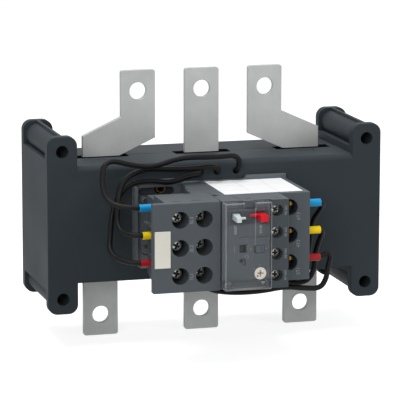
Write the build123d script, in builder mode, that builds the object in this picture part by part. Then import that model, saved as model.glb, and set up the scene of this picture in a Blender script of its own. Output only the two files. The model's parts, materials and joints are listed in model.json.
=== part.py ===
from build123d import *
import math
import os

# Thermal overload relay for large motors: a current-transformer housing with three busbars,
# which carries a small relay, a terminal block and the six leads between them.
# Millimetres. X runs to the right, Y to the back and Z up. The origin is the centre of the
# four panel holes on the rear mounting plane.

os.makedirs("parts", exist_ok=True)

# Panel fixing and transformer housing
housing_depth = 61.5
hole_span_x = 163.2
hole_span_z = 76.7
panel_hole_r = 3.25
ear_width = 15.8
ear_height = 92.4
ear_corner = 5.0
ear_thickness = 5.0
ear_edge = 0.7
tube_r = 6.3
fin_thickness = 1.5
cheek_height = 68.0
body_height = 60.8
housing_wall = 2.5
front_edge_r = 3.0
bottom_edge_r = 1.5
rear_edge_r = 4.0
rear_step = 1.0
rear_side_wall = 1.4
parting_depth = 28.9
shell_gap = 0.15

# Busbars and the slots that they pass through
pole_span = 55.0
terminal_span = 34.5
bar_width = 18.4
bar_thickness = 3.0
bar_depth = 28.3
bar_top = 74.9
bar_bottom = -64.9
bar_hole_r = 4.5
bar_hole_edge = 11.0
bar_corner = 1.3
jog_start = 41.3
jog_rise = 9.3
jog_band = 11.6
slot_length = 29.75
slot_width = 8.5

# Current transformers
core_width = 34.0
core_depth = 38.0
core_height = 14.0
core_limb = 6.5
coil_build = 3.2
coil_length = 17.0
cradle_offset = 14.0
cradle_thickness = 2.0
pad_width = 12.0
pad_z = 22.0
pad_height = 4.0

# Screws that close the housing from behind
shell_screw_x = 27.5
shell_screw_z = 22.0
shell_screw_r = 1.45
shell_head_r = 2.9
shell_head_height = 2.1
shell_boss_r = 4.4
shell_seat_y = -8.2

# Relay module, its distances counted forward from the housing face
relay_left = -14.2
relay_right = 36.1
relay_back = 3.0
relay_top = 20.2
relay_bottom = -24.8
front_split = 42.3
power_front = 45.1
panel_front = 58.5
aux_front = 60.3
aux_left = 10.8
aux_right = 20.1
relay_wall = 2.0
face_wall = 2.4
relay_cavity_right = 19.0
relay_pole_z = -1.4
relay_pole_pitch = 14.15
power_well_x = 25.3
power_well_r = 4.2
power_well_depth = 7.4
lead_out_depth = 36.0
lever_pivot = (-6.0, 15.2)
lever_pin_r = 0.95

# Auxiliary contact terminals
aux_well_x = 13.95
aux_well_z = -1.98
aux_well_pitch = 11.03
aux_well_r = 3.1
aux_well_depth = 11.3
aux_screw_depth = 3.7

# Terminal block
block_left = -42.5
block_right = -14.45
block_face_left = -49.45
block_front = 57.9
block_face_thickness = 3.5
block_back = 33.5
block_shoulder_back = 20.6
block_shoulder_top = 18.0
block_shoulder_right = -23.4
block_bottom = -25.0
block_pole_z = -2.6
block_pole_pitch = 14.2
block_well_x = (-35.3, -23.0)
block_well_r = 4.3
block_screw_depth = (5.6, 7.0)
block_wire_depth = (31.5, 37.4)
lead_entry_rise = 2.0
link_pin_r = 1.4
tag_size = (8.1, 18.5, 1.2)
tag_centre = (-44.55, -2.85)
tag_proud = 0.6

# Front panel controls
reset_box = (-10.6, -5.9, 10.2, 14.9)
stop_box = (1.7, 8.0, 10.1, 15.0)
button_front = 65.5
button_back = 52.5
button_travel = 2.5
button_gap = 0.3
spring_shelf = 44.5
dial_x = 6.0
dial_z = -17.4
dial_r = 3.15
dial_shaft_r = 1.6
dial_seat = 1.6
running_gap = 0.1
cover_left = -14.1
cover_right = 10.2
cover_top = 19.9
cover_bottom = -24.3
cover_back = 58.7
cover_front = 64.5
cover_wall = 1.0
latch_x = (-3.6, 1.3)
latch_front = 60.2
hinge_depth = 60.5
hinge_z = -21.6
hinge_pin_r = 0.75
hinge_lug_r = 1.4

# Leads and their coloured end sleeves
lead_r = 1.4
lead_hole_r = 1.7
sleeve_r = 1.95
sleeve_fit = 0.05
sleeve_mouth = 1.6
sleeve_mouth_gap = 0.3
wire_pin_r = 0.9
lead_top_z = 24.6
lead_bottom_z = -26.8

# Places worked out from the sizes above
front_y = -housing_depth
hole_x = hole_span_x / 2
hole_z = hole_span_z / 2
ear_inner = hole_x - ear_width / 2
ear_outer = hole_x + ear_width / 2
body_top = body_height / 2
parting_y = front_y + parting_depth
bar_front_y = front_y + bar_depth
bar_back_y = bar_front_y + bar_thickness
slot_y = parting_y
pole_x = (-pole_span, 0.0, pole_span)
panel_corners = [(side * hole_x, end * hole_z) for side in (-1, 1) for end in (-1, 1)]
shell_screw_places = [(side * shell_screw_x, end * shell_screw_z) for side in (-1, 1) for end in (-1, 1)]
relay_poles = [relay_pole_z + step * relay_pole_pitch for step in (1, 0, -1)]
block_poles = [block_pole_z + step * block_pole_pitch for step in (1, 0, -1)]
aux_poles = [aux_well_z + step * aux_well_pitch for step in (1.5, 0.5, -0.5, -1.5)]


def facing(y):
    """Sketch plane that looks to the front at the depth y, with its axes along X and Z."""
    return Plane.XZ.offset(-y)


def ahead(distance):
    """The same kind of plane, at a distance in front of the housing face."""
    return facing(front_y - distance)


def prism(x_limits, depth_limits, z_limits, mode=Mode.ADD):
    """Rectangular prism given by its limits; depths count forward from the housing face."""
    x0, x1 = x_limits
    d0, d1 = depth_limits
    z0, z1 = z_limits
    with Locations(((x0 + x1) / 2, front_y - (d0 + d1) / 2, (z0 + z1) / 2)):
        Box(x1 - x0, abs(d1 - d0), z1 - z0, mode=mode)


def save(part, name):
    """Label one finished piece and write it."""
    part.label = name
    export_step(part, f"parts/{name}.step")


# Front shell: the front wall, both cheeks with their ears and the front half of the body
with BuildPart() as front_shell:
    for plane, step in ((facing(front_y), -ear_thickness), (facing(0), ear_thickness)):
        with BuildSketch(plane):
            with Locations((-hole_x, 0), (hole_x, 0)):
                RectangleRounded(ear_width, ear_height, ear_corner)
        extrude(amount=step)
    fillet(front_shell.faces().group_by(Axis.Y)[0].edges(), ear_edge)
    with BuildSketch(Plane.YZ.offset(-ear_inner - 2 * ear_edge)) as body_profile:
        with Locations(((front_y + parting_y) / 2, 0)):
            Rectangle(parting_depth, body_height)
        front_corners = body_profile.vertices().group_by(Axis.X)[0]
        fillet(front_corners.sort_by(Axis.Y)[-1], front_edge_r)
        fillet(body_profile.vertices().group_by(Axis.X)[0].sort_by(Axis.Y)[0], bottom_edge_r)
    extrude(amount=2 * (ear_inner + 2 * ear_edge))
    # Cheeks between the ears, with the tube round each panel hole and its thin fin
    with BuildSketch(facing(-ear_thickness / 2)):
        with Locations((-hole_x, 0), (hole_x, 0)):
            Rectangle(ear_width, cheek_height)
        with Locations(panel_corners):
            Circle(tube_r)
        with Locations((-hole_x, 0), (hole_x, 0)):
            Rectangle(fin_thickness, ear_height)
    extrude(amount=housing_depth - ear_thickness)
    # The hollow for the transformers runs into both cheeks
    with Locations((0, -housing_depth / 2, 0)):
        Box(
            2 * (ear_outer - housing_wall),
            housing_depth - 2 * housing_wall,
            body_height - 2 * housing_wall,
            mode=Mode.SUBTRACT,
        )
    # Cradles under and over each core, and the pads that hold each busbar
    for x in pole_x:
        cradle_back = bar_depth - slot_width / 2 - 2
        for side_step in (-cradle_offset, cradle_offset):
            x_limits = (x + side_step - cradle_thickness / 2, x + side_step + cradle_thickness / 2)
            prism(x_limits, (-housing_wall, -cradle_back), (-body_top + housing_wall, -core_height / 2))
            prism(x_limits, (-housing_wall, -cradle_back), (core_height / 2, body_top - housing_wall))
        for z in (-pad_z, pad_z):
            pad = (x - pad_width / 2, x + pad_width / 2)
            prism(pad, (-housing_wall, -bar_depth), (z - pad_height / 2, z + pad_height / 2))
    # Bosses for the closing screws
    with BuildSketch(facing(front_y + housing_wall)):
        with Locations(shell_screw_places):
            Circle(shell_boss_r - 0.6)
    extrude(amount=-(housing_depth - housing_wall + shell_seat_y))
    with BuildSketch(facing(shell_seat_y)):
        with Locations(shell_screw_places):
            Circle(shell_screw_r + sleeve_fit)
    extrude(amount=20, mode=Mode.SUBTRACT)
    # Panel holes, busbar slots, lead holes and the seat of the brass insert
    with BuildSketch(facing(0)):
        with Locations(panel_corners):
            Circle(panel_hole_r)
    extrude(amount=housing_depth, mode=Mode.SUBTRACT)
    with Locations([(x, slot_y, z) for x in pole_x for z in (-body_top, body_top)]):
        Box(slot_length, slot_width, 3 * housing_wall, mode=Mode.SUBTRACT)
    with BuildSketch(facing(front_y)):
        with Locations([(x, lead_top_z) for x in (-8.8, 0.2, 10.4)]):
            Circle(lead_hole_r)
        with Locations([(x, lead_bottom_z) for x in (-8.8, 0.2, 10.4)]):
            Circle(lead_hole_r)
    extrude(amount=-8, mode=Mode.SUBTRACT)
    with BuildSketch(facing(front_y)):
        with Locations((-30.8, 17.0)):
            Circle(2.5)
    extrude(amount=-housing_wall, mode=Mode.SUBTRACT)
save(front_shell.part, "front_shell")

# Rear shell: fits between the cheeks behind the parting plane
with BuildPart() as rear_shell:
    with BuildSketch(Plane.YZ.offset(-ear_inner + shell_gap)) as rear_profile:
        with Locations(((parting_y + shell_gap - rear_step) / 2, 0)):
            Rectangle(-rear_step - parting_y - shell_gap, body_height)
        fillet(rear_profile.vertices().group_by(Axis.X)[-1], rear_edge_r)
    extrude(amount=2 * (ear_inner - shell_gap))
    inner_back = -rear_step - housing_wall
    with Locations((0, (parting_y + inner_back) / 2, 0)):
        Box(
            2 * (ear_inner - shell_gap - rear_side_wall),
            inner_back - parting_y,
            body_height - 2 * housing_wall,
            mode=Mode.SUBTRACT,
        )
    rear_depth = front_y - inner_back
    for x in pole_x:
        for side_step in (-cradle_offset, cradle_offset):
            x_limits = (x + side_step - cradle_thickness / 2, x + side_step + cradle_thickness / 2)
            rear_cradle = (rear_depth, -bar_depth - bar_thickness - 5)
            prism(x_limits, rear_cradle, (-body_top + housing_wall, -core_height / 2))
            prism(x_limits, rear_cradle, (core_height / 2, body_top - housing_wall))
        for z in (-pad_z, pad_z):
            pad = (x - pad_width / 2, x + pad_width / 2)
            rear_pad = (rear_depth, -bar_depth - bar_thickness)
            prism(pad, rear_pad, (z - pad_height / 2, z + pad_height / 2))
    with BuildSketch(facing(inner_back)):
        with Locations(shell_screw_places):
            Circle(shell_boss_r)
    extrude(amount=inner_back - shell_seat_y)
    with BuildSketch(facing(-rear_step)):
        with Locations(shell_screw_places):
            Circle(shell_head_r + 0.3)
    extrude(amount=shell_head_height + 0.4, mode=Mode.SUBTRACT)
    with BuildSketch(facing(-rear_step)):
        with Locations(shell_screw_places):
            Circle(shell_screw_r + 0.25)
    extrude(amount=10, mode=Mode.SUBTRACT)
    with Locations([(x, slot_y, z) for x in pole_x for z in (-body_top, body_top)]):
        Box(slot_length, slot_width, 3 * housing_wall, mode=Mode.SUBTRACT)
save(rear_shell.part, "rear_shell")

# Four self-tapping screws close the housing, heads sunk below the mounting plane
with BuildPart() as shell_screws:
    head_y = -rear_step - shell_head_height - 0.4
    with BuildSketch(facing(head_y)):
        with Locations(shell_screw_places):
            Circle(shell_head_r)
    extrude(amount=-shell_head_height)
    with BuildSketch(facing(head_y)):
        with Locations(shell_screw_places):
            Circle(shell_screw_r)
    extrude(amount=18)
    with BuildSketch(facing(head_y + shell_head_height)):
        for place in shell_screw_places:
            with Locations(place):
                Rectangle(3.2, 0.8)
                Rectangle(0.8, 3.2)
    extrude(amount=1.1, mode=Mode.SUBTRACT)
save(shell_screws.part, "shell_screws")


def make_busbar(low_x, high_x):
    """One flat busbar; the outer two step sideways to the closer terminal spacing."""
    half = bar_width / 2
    side = math.copysign(1, high_x - low_x)
    with BuildPart() as bar:
        with BuildSketch(facing(bar_back_y)) as outline:
            with BuildLine():
                if high_x == low_x:
                    Polyline(
                        (low_x - half, bar_bottom),
                        (low_x + half, bar_bottom),
                        (low_x + half, bar_top),
                        (low_x - half, bar_top),
                        close=True,
                    )
                else:
                    Polyline(
                        (low_x - side * half, bar_bottom),
                        (low_x - side * half, jog_start),
                        (high_x - side * half, jog_start + jog_rise),
                        (high_x - side * half, bar_top),
                        (high_x + side * half, bar_top),
                        (high_x + side * half, jog_start + jog_rise - jog_band),
                        (low_x + side * half, jog_start - jog_band),
                        (low_x + side * half, bar_bottom),
                        close=True,
                    )
            make_face()
            fillet(outline.vertices().group_by(Axis.Y)[0], bar_corner)
            fillet(outline.vertices().group_by(Axis.Y)[-1], bar_corner)
            with Locations((high_x, bar_top - bar_hole_edge), (low_x, bar_bottom + bar_hole_edge)):
                Circle(bar_hole_r, mode=Mode.SUBTRACT)
        extrude(amount=bar_thickness)
    return bar.part


for index, x in enumerate(pole_x, start=1):
    save(make_busbar(x, x * terminal_span / pole_span), f"busbar_l{index}")

# Ring cores round the busbars, and the secondary winding on each front limb
for index, x in enumerate(pole_x, start=1):
    with BuildPart() as core:
        with Locations((x, slot_y, 0)):
            Box(core_width, core_depth, core_height)
            Box(
                core_width - 2 * core_limb,
                core_depth - 2 * core_limb,
                core_height,
                mode=Mode.SUBTRACT,
            )
        fillet(core.edges().filter_by(Axis.Z).group_by(Axis.Y)[0], 1.5)
        fillet(core.edges().filter_by(Axis.Z).group_by(Axis.Y)[-1], 1.5)
    save(core.part, f"ct_core_{index}")
    limb_y = slot_y - core_depth / 2 + core_limb / 2
    with BuildPart() as winding:
        with BuildSketch(Plane.YZ.offset(x - coil_length / 2)):
            with Locations((limb_y, 0)):
                RectangleRounded(core_limb + 2 * coil_build, core_height + 2 * coil_build, 2.5)
                Rectangle(core_limb + 0.3, core_height + 0.3, mode=Mode.SUBTRACT)
        extrude(amount=coil_length)
        with BuildSketch(Plane.YZ.offset(x - coil_length / 2 + 1.2)):
            with Locations((limb_y, 0)):
                RectangleRounded(core_limb + 2 * coil_build, core_height + 2 * coil_build, 2.5)
                RectangleRounded(
                    core_limb + 2 * coil_build - 1.6,
                    core_height + 2 * coil_build - 1.6,
                    1.7,
                    mode=Mode.SUBTRACT,
                )
        extrude(amount=coil_length - 2.4, mode=Mode.SUBTRACT)
    save(winding.part, f"ct_winding_{index}")

# Mounting bracket: a shallow pan that holds the relay and the block off the housing
bracket_left = -46.0
bracket_right = relay_right + 0.4
bracket_low = -23.7
bracket_skin = 1.5
bracket_screws_at = ((-38.5, 11.4), (-38.5, -14.0), (30.0, 11.4), (30.0, -14.0))
adjust_slot = (-31.0, 17.0, 21.0, 4.6)
with BuildPart() as mounting_bracket:
    with BuildSketch(ahead(0)) as pan:
        with BuildLine():
            Polyline(
                (bracket_left, bracket_low + 3.5),
                (bracket_left + 4.5, bracket_low),
                (bracket_right, bracket_low),
                (bracket_right, 22.2),
                (15.8, 22.2),
                (14.4, 20.4),
                (-18.5, 20.4),
                (-20.2, 22.2),
                (bracket_left + 1, 22.2),
                (bracket_left, 21.2),
                close=True,
            )
        make_face()
    extrude(amount=relay_back)
    with BuildSketch(ahead(0)):
        add(pan.sketch_local)
        offset(amount=-bracket_skin, mode=Mode.REPLACE)
        with Locations(bracket_screws_at):
            Circle(4.2, mode=Mode.SUBTRACT)
    extrude(amount=relay_back - bracket_skin, mode=Mode.SUBTRACT)
    with BuildSketch(ahead(0)):
        with Locations(adjust_slot[:2]):
            SlotOverall(adjust_slot[2], adjust_slot[3])
        with Locations(bracket_screws_at):
            Circle(1.8)
    extrude(amount=relay_back, mode=Mode.SUBTRACT)
    with BuildSketch(ahead(relay_back)):
        with Locations(bracket_screws_at):
            Circle(2.7)
    extrude(amount=-1.7, mode=Mode.SUBTRACT)
    # Two small windows in the left flange
    with BuildSketch(Plane.YZ.offset(bracket_left - 1)):
        with Locations((front_y - relay_back / 2, 11.4), (front_y - relay_back / 2, -11.7)):
            SlotOverall(5.0, 1.3, rotation=90)
    extrude(amount=bracket_skin + 1, mode=Mode.SUBTRACT)
save(mounting_bracket.part, "mounting_bracket")

with BuildPart() as bracket_screws:
    with BuildSketch(ahead(relay_back - 1.7)):
        with Locations(bracket_screws_at):
            Circle(2.5)
    extrude(amount=1.5)
    with BuildSketch(ahead(relay_back - 1.7)):
        with Locations(bracket_screws_at):
            Circle(1.5)
    extrude(amount=-(relay_back - 1.7))
    with BuildSketch(ahead(relay_back - 0.2)):
        for place in bracket_screws_at:
            with Locations(place):
                Rectangle(2.8, 0.7)
                Rectangle(0.7, 2.8)
    extrude(amount=-0.8, mode=Mode.SUBTRACT)
save(bracket_screws.part, "bracket_screws")

# Brass insert in the housing wall, seen through the bracket's slot
with BuildPart() as brass_insert:
    with BuildSketch(facing(front_y + housing_wall)):
        with Locations((-30.8, 17.0)):
            Circle(2.45)
    extrude(amount=housing_wall)
    with BuildSketch(facing(front_y)):
        with Locations((-30.8, 17.0)):
            Circle(2.25)
    extrude(amount=0.8)
    with BuildSketch(facing(front_y - 0.8)):
        with Locations((-30.8, 17.0)):
            Circle(1.65)
    extrude(amount=-housing_wall - 0.8, mode=Mode.SUBTRACT)
save(brass_insert.part, "brass_insert")

# Terminal block body: a stepped moulding with a well to each screw
plate_back = block_front - block_face_thickness
chamber_back = (29.0, 35.0)
with BuildPart() as block_body:
    with BuildSketch(Plane.YZ.offset(block_left)) as block_profile:
        with BuildLine():
            Polyline(
                (front_y - plate_back, block_bottom),
                (front_y - plate_back, relay_top),
                (front_y - block_back, relay_top),
                (front_y - block_back, block_shoulder_top),
                (front_y - block_shoulder_back, block_shoulder_top),
                (front_y - block_shoulder_back, block_bottom + 3.2),
                (front_y - 31.0, block_bottom),
                close=True,
            )
        make_face()
    extrude(amount=block_right - block_left)
    # The part behind the relay's shoulder is cut away
    behind_relay = (block_shoulder_back, block_back)
    prism((block_shoulder_right, block_right), behind_relay, (block_bottom, relay_top), Mode.SUBTRACT)
    for column, x in enumerate(block_well_x):
        with BuildSketch(ahead(plate_back)):
            with Locations([(x, z) for z in block_poles]):
                Circle(block_well_r)
        extrude(amount=-(plate_back - block_wire_depth[column] - 6.2), mode=Mode.SUBTRACT)
        # Chamber for the cage clamp, and the way in for the wire
        for z in block_poles:
            reach = (chamber_back[column] - 0.4, block_wire_depth[column] + 6.4)
            prism((x - 4.2, x + 4.2), reach, (z - 4.6, z + 4.6), Mode.SUBTRACT)
    for z in block_poles:
        prism((block_well_x[0], block_well_x[1]), (33.2, 40.8), (z - 3.4, z + 3.4), Mode.SUBTRACT)
    with BuildSketch(Plane.YZ.offset(block_left)):
        with Locations([(front_y - block_wire_depth[0], z + lead_entry_rise) for z in block_poles]):
            Circle(sleeve_r + 0.3)
    extrude(amount=1.2, mode=Mode.SUBTRACT)
    with BuildSketch(Plane.YZ.offset(block_left)):
        with Locations([(front_y - block_wire_depth[0], z + lead_entry_rise) for z in block_poles]):
            Circle(wire_pin_r + 0.4)
    extrude(amount=5, mode=Mode.SUBTRACT)
    with BuildSketch(Plane.YZ.offset(block_right)):
        with Locations([(front_y - block_wire_depth[1], z) for z in block_poles]):
            Circle(link_pin_r + 0.15)
    extrude(amount=-5, mode=Mode.SUBTRACT)
    # Two snap windows along the top edge, and low spigots that seat against the relay
    with Locations((-35.7, front_y - 52.2, relay_top), (-25.6, front_y - 51.8, relay_top)):
        Box(4.6, 0.9, 1.6, mode=Mode.SUBTRACT)
    with BuildSketch(Plane.YZ.offset(block_right)):
        with Locations([(front_y - block_wire_depth[1], z) for z in block_poles]):
            Circle(2.6)
            Circle(link_pin_r + 0.15, mode=Mode.SUBTRACT)
    extrude(amount=relay_left - block_right)
save(block_body.part, "terminal_block_body")

# Face plate of the terminal block: it reaches further left than the body
with BuildPart() as block_face:
    face_centre = ((block_face_left + block_right) / 2, (relay_top + block_bottom) / 2)
    with BuildSketch(ahead(plate_back)):
        with Locations(face_centre):
            RectangleRounded(block_right - block_face_left, relay_top - block_bottom, 0.8)
    extrude(amount=block_face_thickness)
    fillet(block_face.faces().sort_by(Axis.Y)[0].edges(), 0.5)
    with BuildSketch(ahead(plate_back)):
        with Locations([(x, z) for x in block_well_x for z in block_poles]):
            Circle(block_well_r)
    extrude(amount=block_face_thickness, mode=Mode.SUBTRACT)
    with BuildSketch(ahead(block_front)):
        with Locations(tag_centre):
            Rectangle(tag_size[0] + 0.2, tag_size[1] + 0.2)
    extrude(amount=-(tag_size[2] - tag_proud), mode=Mode.SUBTRACT)
save(block_face.part, "terminal_block_face")

with BuildPart() as marker_tag:
    with BuildSketch(ahead(block_front - tag_size[2] + tag_proud)):
        with Locations(tag_centre):
            Rectangle(tag_size[0], tag_size[1])
    extrude(amount=tag_size[2])
    fillet(marker_tag.faces().sort_by(Axis.Y)[0].edges(), 0.25)
save(marker_tag.part, "marker_tag")


def bent_strip(points, sheet):
    """Closed outline, in X and Y, of a flat strip bent along the given centre line."""
    count = len(points)
    normals = []
    for (xa, ya), (xb, yb) in zip(points, points[1:]):
        run = math.hypot(xb - xa, yb - ya)
        normals.append(((ya - yb) / run, (xb - xa) / run))
    sides = ([], [])
    for index, (x, y) in enumerate(points):
        before = normals[max(index - 1, 0)]
        after = normals[min(index, count - 2)]
        scale = sheet / 2 / (1 + before[0] * after[0] + before[1] * after[1])
        step = ((before[0] + after[0]) * scale, (before[1] + after[1]) * scale)
        sides[0].append((x + step[0], y + step[1]))
        sides[1].append((x - step[0], y - step[1]))
    return sides[0] + sides[1][::-1]


def screw(place, head_front, tip, head_r, head_height, shank_r, slot):
    """Pan-head terminal screw with a cross recess, between two distances ahead of the housing."""
    with BuildSketch(ahead(head_front - head_height)) as head:
        with Locations(place):
            Circle(head_r)
    extrude(head.sketch, amount=head_height)
    with BuildSketch(ahead(head_front - head_height)) as shank:
        with Locations(place):
            Circle(shank_r)
    extrude(shank.sketch, amount=-(head_front - head_height - tip))
    with BuildSketch(ahead(head_front)) as recess:
        with Locations(place):
            Rectangle(slot, slot / 4)
            Rectangle(slot / 4, slot)
    extrude(recess.sketch, amount=-head_height * 0.55, mode=Mode.SUBTRACT)


# Terminal screws of the block, six alike
with BuildPart() as block_screws:
    for column, x in enumerate(block_well_x):
        for z in block_poles:
            head_front = block_front - block_screw_depth[column]
            screw((x, z), head_front, block_wire_depth[column] + 3.4, 2.4, 1.9, 1.45, 3.0)
save(block_screws.part, "block_screws")

# Cage clamps: a square ring round each wire, tapped for its screw
with BuildPart() as block_clamps:
    for column, x in enumerate(block_well_x):
        wire = block_wire_depth[column]
        for z in block_poles:
            with BuildSketch(Plane.YZ.offset(x - 3.8)):
                with Locations((front_y - wire - 1.6, z)):
                    RectangleRounded(8.2, 8.6, 1.0)
                    RectangleRounded(6.2, 6.6, 0.5, mode=Mode.SUBTRACT)
            extrude(amount=7.6)
            with BuildSketch(ahead(wire + 8)):
                with Locations((x, z)):
                    Circle(1.55)
            extrude(amount=-4, mode=Mode.SUBTRACT)
save(block_clamps.part, "block_clamps")

# Bent brass bars that join the two clamps of each pole
bar_sheet = 1.4
with BuildPart() as block_bars:
    for z in block_poles:
        left_d, right_d = (depth + 2.6 for depth in block_wire_depth)
        with BuildSketch(Plane.XY.offset(z - 2.6)):
            centre_line = (
                (block_well_x[0] - 3.2, front_y - left_d),
                (block_well_x[0] + 4.4, front_y - left_d),
                (block_well_x[1] - 4.4, front_y - right_d),
                (block_well_x[1] + 3.2, front_y - right_d),
            )
            with BuildLine():
                Polyline(*bent_strip(centre_line, bar_sheet), close=True)
            make_face()
        extrude(amount=5.2)
save(block_bars.part, "block_bars")

# Round pins that plug the block onto the relay
with BuildPart() as link_pins:
    with BuildSketch(Plane.YZ.offset(block_well_x[1] - 3.0)):
        with Locations([(front_y - block_wire_depth[1], z) for z in block_poles]):
            Circle(link_pin_r)
    extrude(amount=16.6)
    fillet(link_pins.edges().filter_by(GeomType.CIRCLE).group_by(Axis.X)[0], 0.5)
save(link_pins.part, "link_pins")

# Relay base: hooked rear moulding with the power terminals down its right side
power_floor = power_front - power_well_depth
with BuildPart() as relay_base:
    with BuildSketch(Plane.XY.offset(relay_bottom)) as base_profile:
        with BuildLine():
            Polyline(
                (relay_right, front_y - relay_back),
                (relay_right, front_y - power_front),
                (aux_right + 0.3, front_y - power_front),
                (aux_right + 0.3, front_y - front_split),
                (relay_left, front_y - front_split),
                (relay_left, front_y - block_back + 0.3),
                (block_shoulder_right + 0.3, front_y - block_back + 0.3),
                (block_shoulder_right + 0.3, front_y - 23.5),
                (-20.6, front_y - 20.7),
                (-22.4, front_y - 19.6),
                (-20.4, front_y - 13.0),
                (-20.4, front_y - relay_back),
                close=True,
            )
        make_face()
        fillet(base_profile.vertices().sort_by(Axis.X)[-2:], 0.6)
    extrude(amount=relay_top - relay_bottom)
    # Hollow for the bimetals, open to the front moulding
    inner_low = relay_bottom + relay_wall
    inner_high = relay_top - relay_wall
    hollow_x = (relay_left + relay_wall, relay_cavity_right)
    prism(hollow_x, (relay_back + relay_wall, front_split), (inner_low, inner_high), Mode.SUBTRACT)
    # Walls between the poles, with a window that guides the trip bar
    for upper, lower in zip(relay_poles, relay_poles[1:]):
        z = (upper + lower) / 2
        prism(hollow_x, (relay_back + relay_wall, 36.5), (z - 0.7, z + 0.7))
        prism((0.4, 14.5), (36.4, 41.2), (z - 0.7, z + 0.7))
        prism((1.6, 12.4), (38.2, 40.8), (z - 1, z + 1), Mode.SUBTRACT)
    # Pillar that carries the trip lever's pin
    with BuildSketch(ahead(relay_back + relay_wall)):
        with Locations(lever_pivot):
            Circle(2.2)
    extrude(amount=37.8 - relay_back - relay_wall)
    with BuildSketch(ahead(37.8)):
        with Locations(lever_pivot):
            Circle(lever_pin_r)
    extrude(amount=4.2)
    # Power terminals: well, clamp chamber and wire entry for each pole
    for z in relay_poles:
        chamber_x = (relay_cavity_right - 0.5, 30.6)
        prism(chamber_x, (30.4, power_floor + 0.1), (z - 4.6, z + 4.6), Mode.SUBTRACT)
    with BuildSketch(ahead(power_front)):
        with Locations([(power_well_x, z) for z in relay_poles]):
            Circle(power_well_r)
    extrude(amount=-power_well_depth - 0.5, mode=Mode.SUBTRACT)
    with BuildSketch(Plane.YZ.offset(relay_right)):
        with Locations([(front_y - lead_out_depth, z) for z in relay_poles]):
            Circle(sleeve_r + 0.3)
    extrude(amount=-1.2, mode=Mode.SUBTRACT)
    with BuildSketch(Plane.YZ.offset(relay_right)):
        with Locations([(front_y - lead_out_depth, z) for z in relay_poles]):
            Circle(wire_pin_r + 0.4)
    extrude(amount=-6, mode=Mode.SUBTRACT)
    with BuildSketch(Plane.YZ.offset(relay_left)):
        with Locations([(front_y - block_wire_depth[1], z) for z in block_poles]):
            Circle(link_pin_r + 0.15)
    extrude(amount=relay_wall + 0.5, mode=Mode.SUBTRACT)
save(relay_base.part, "relay_base")

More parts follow.
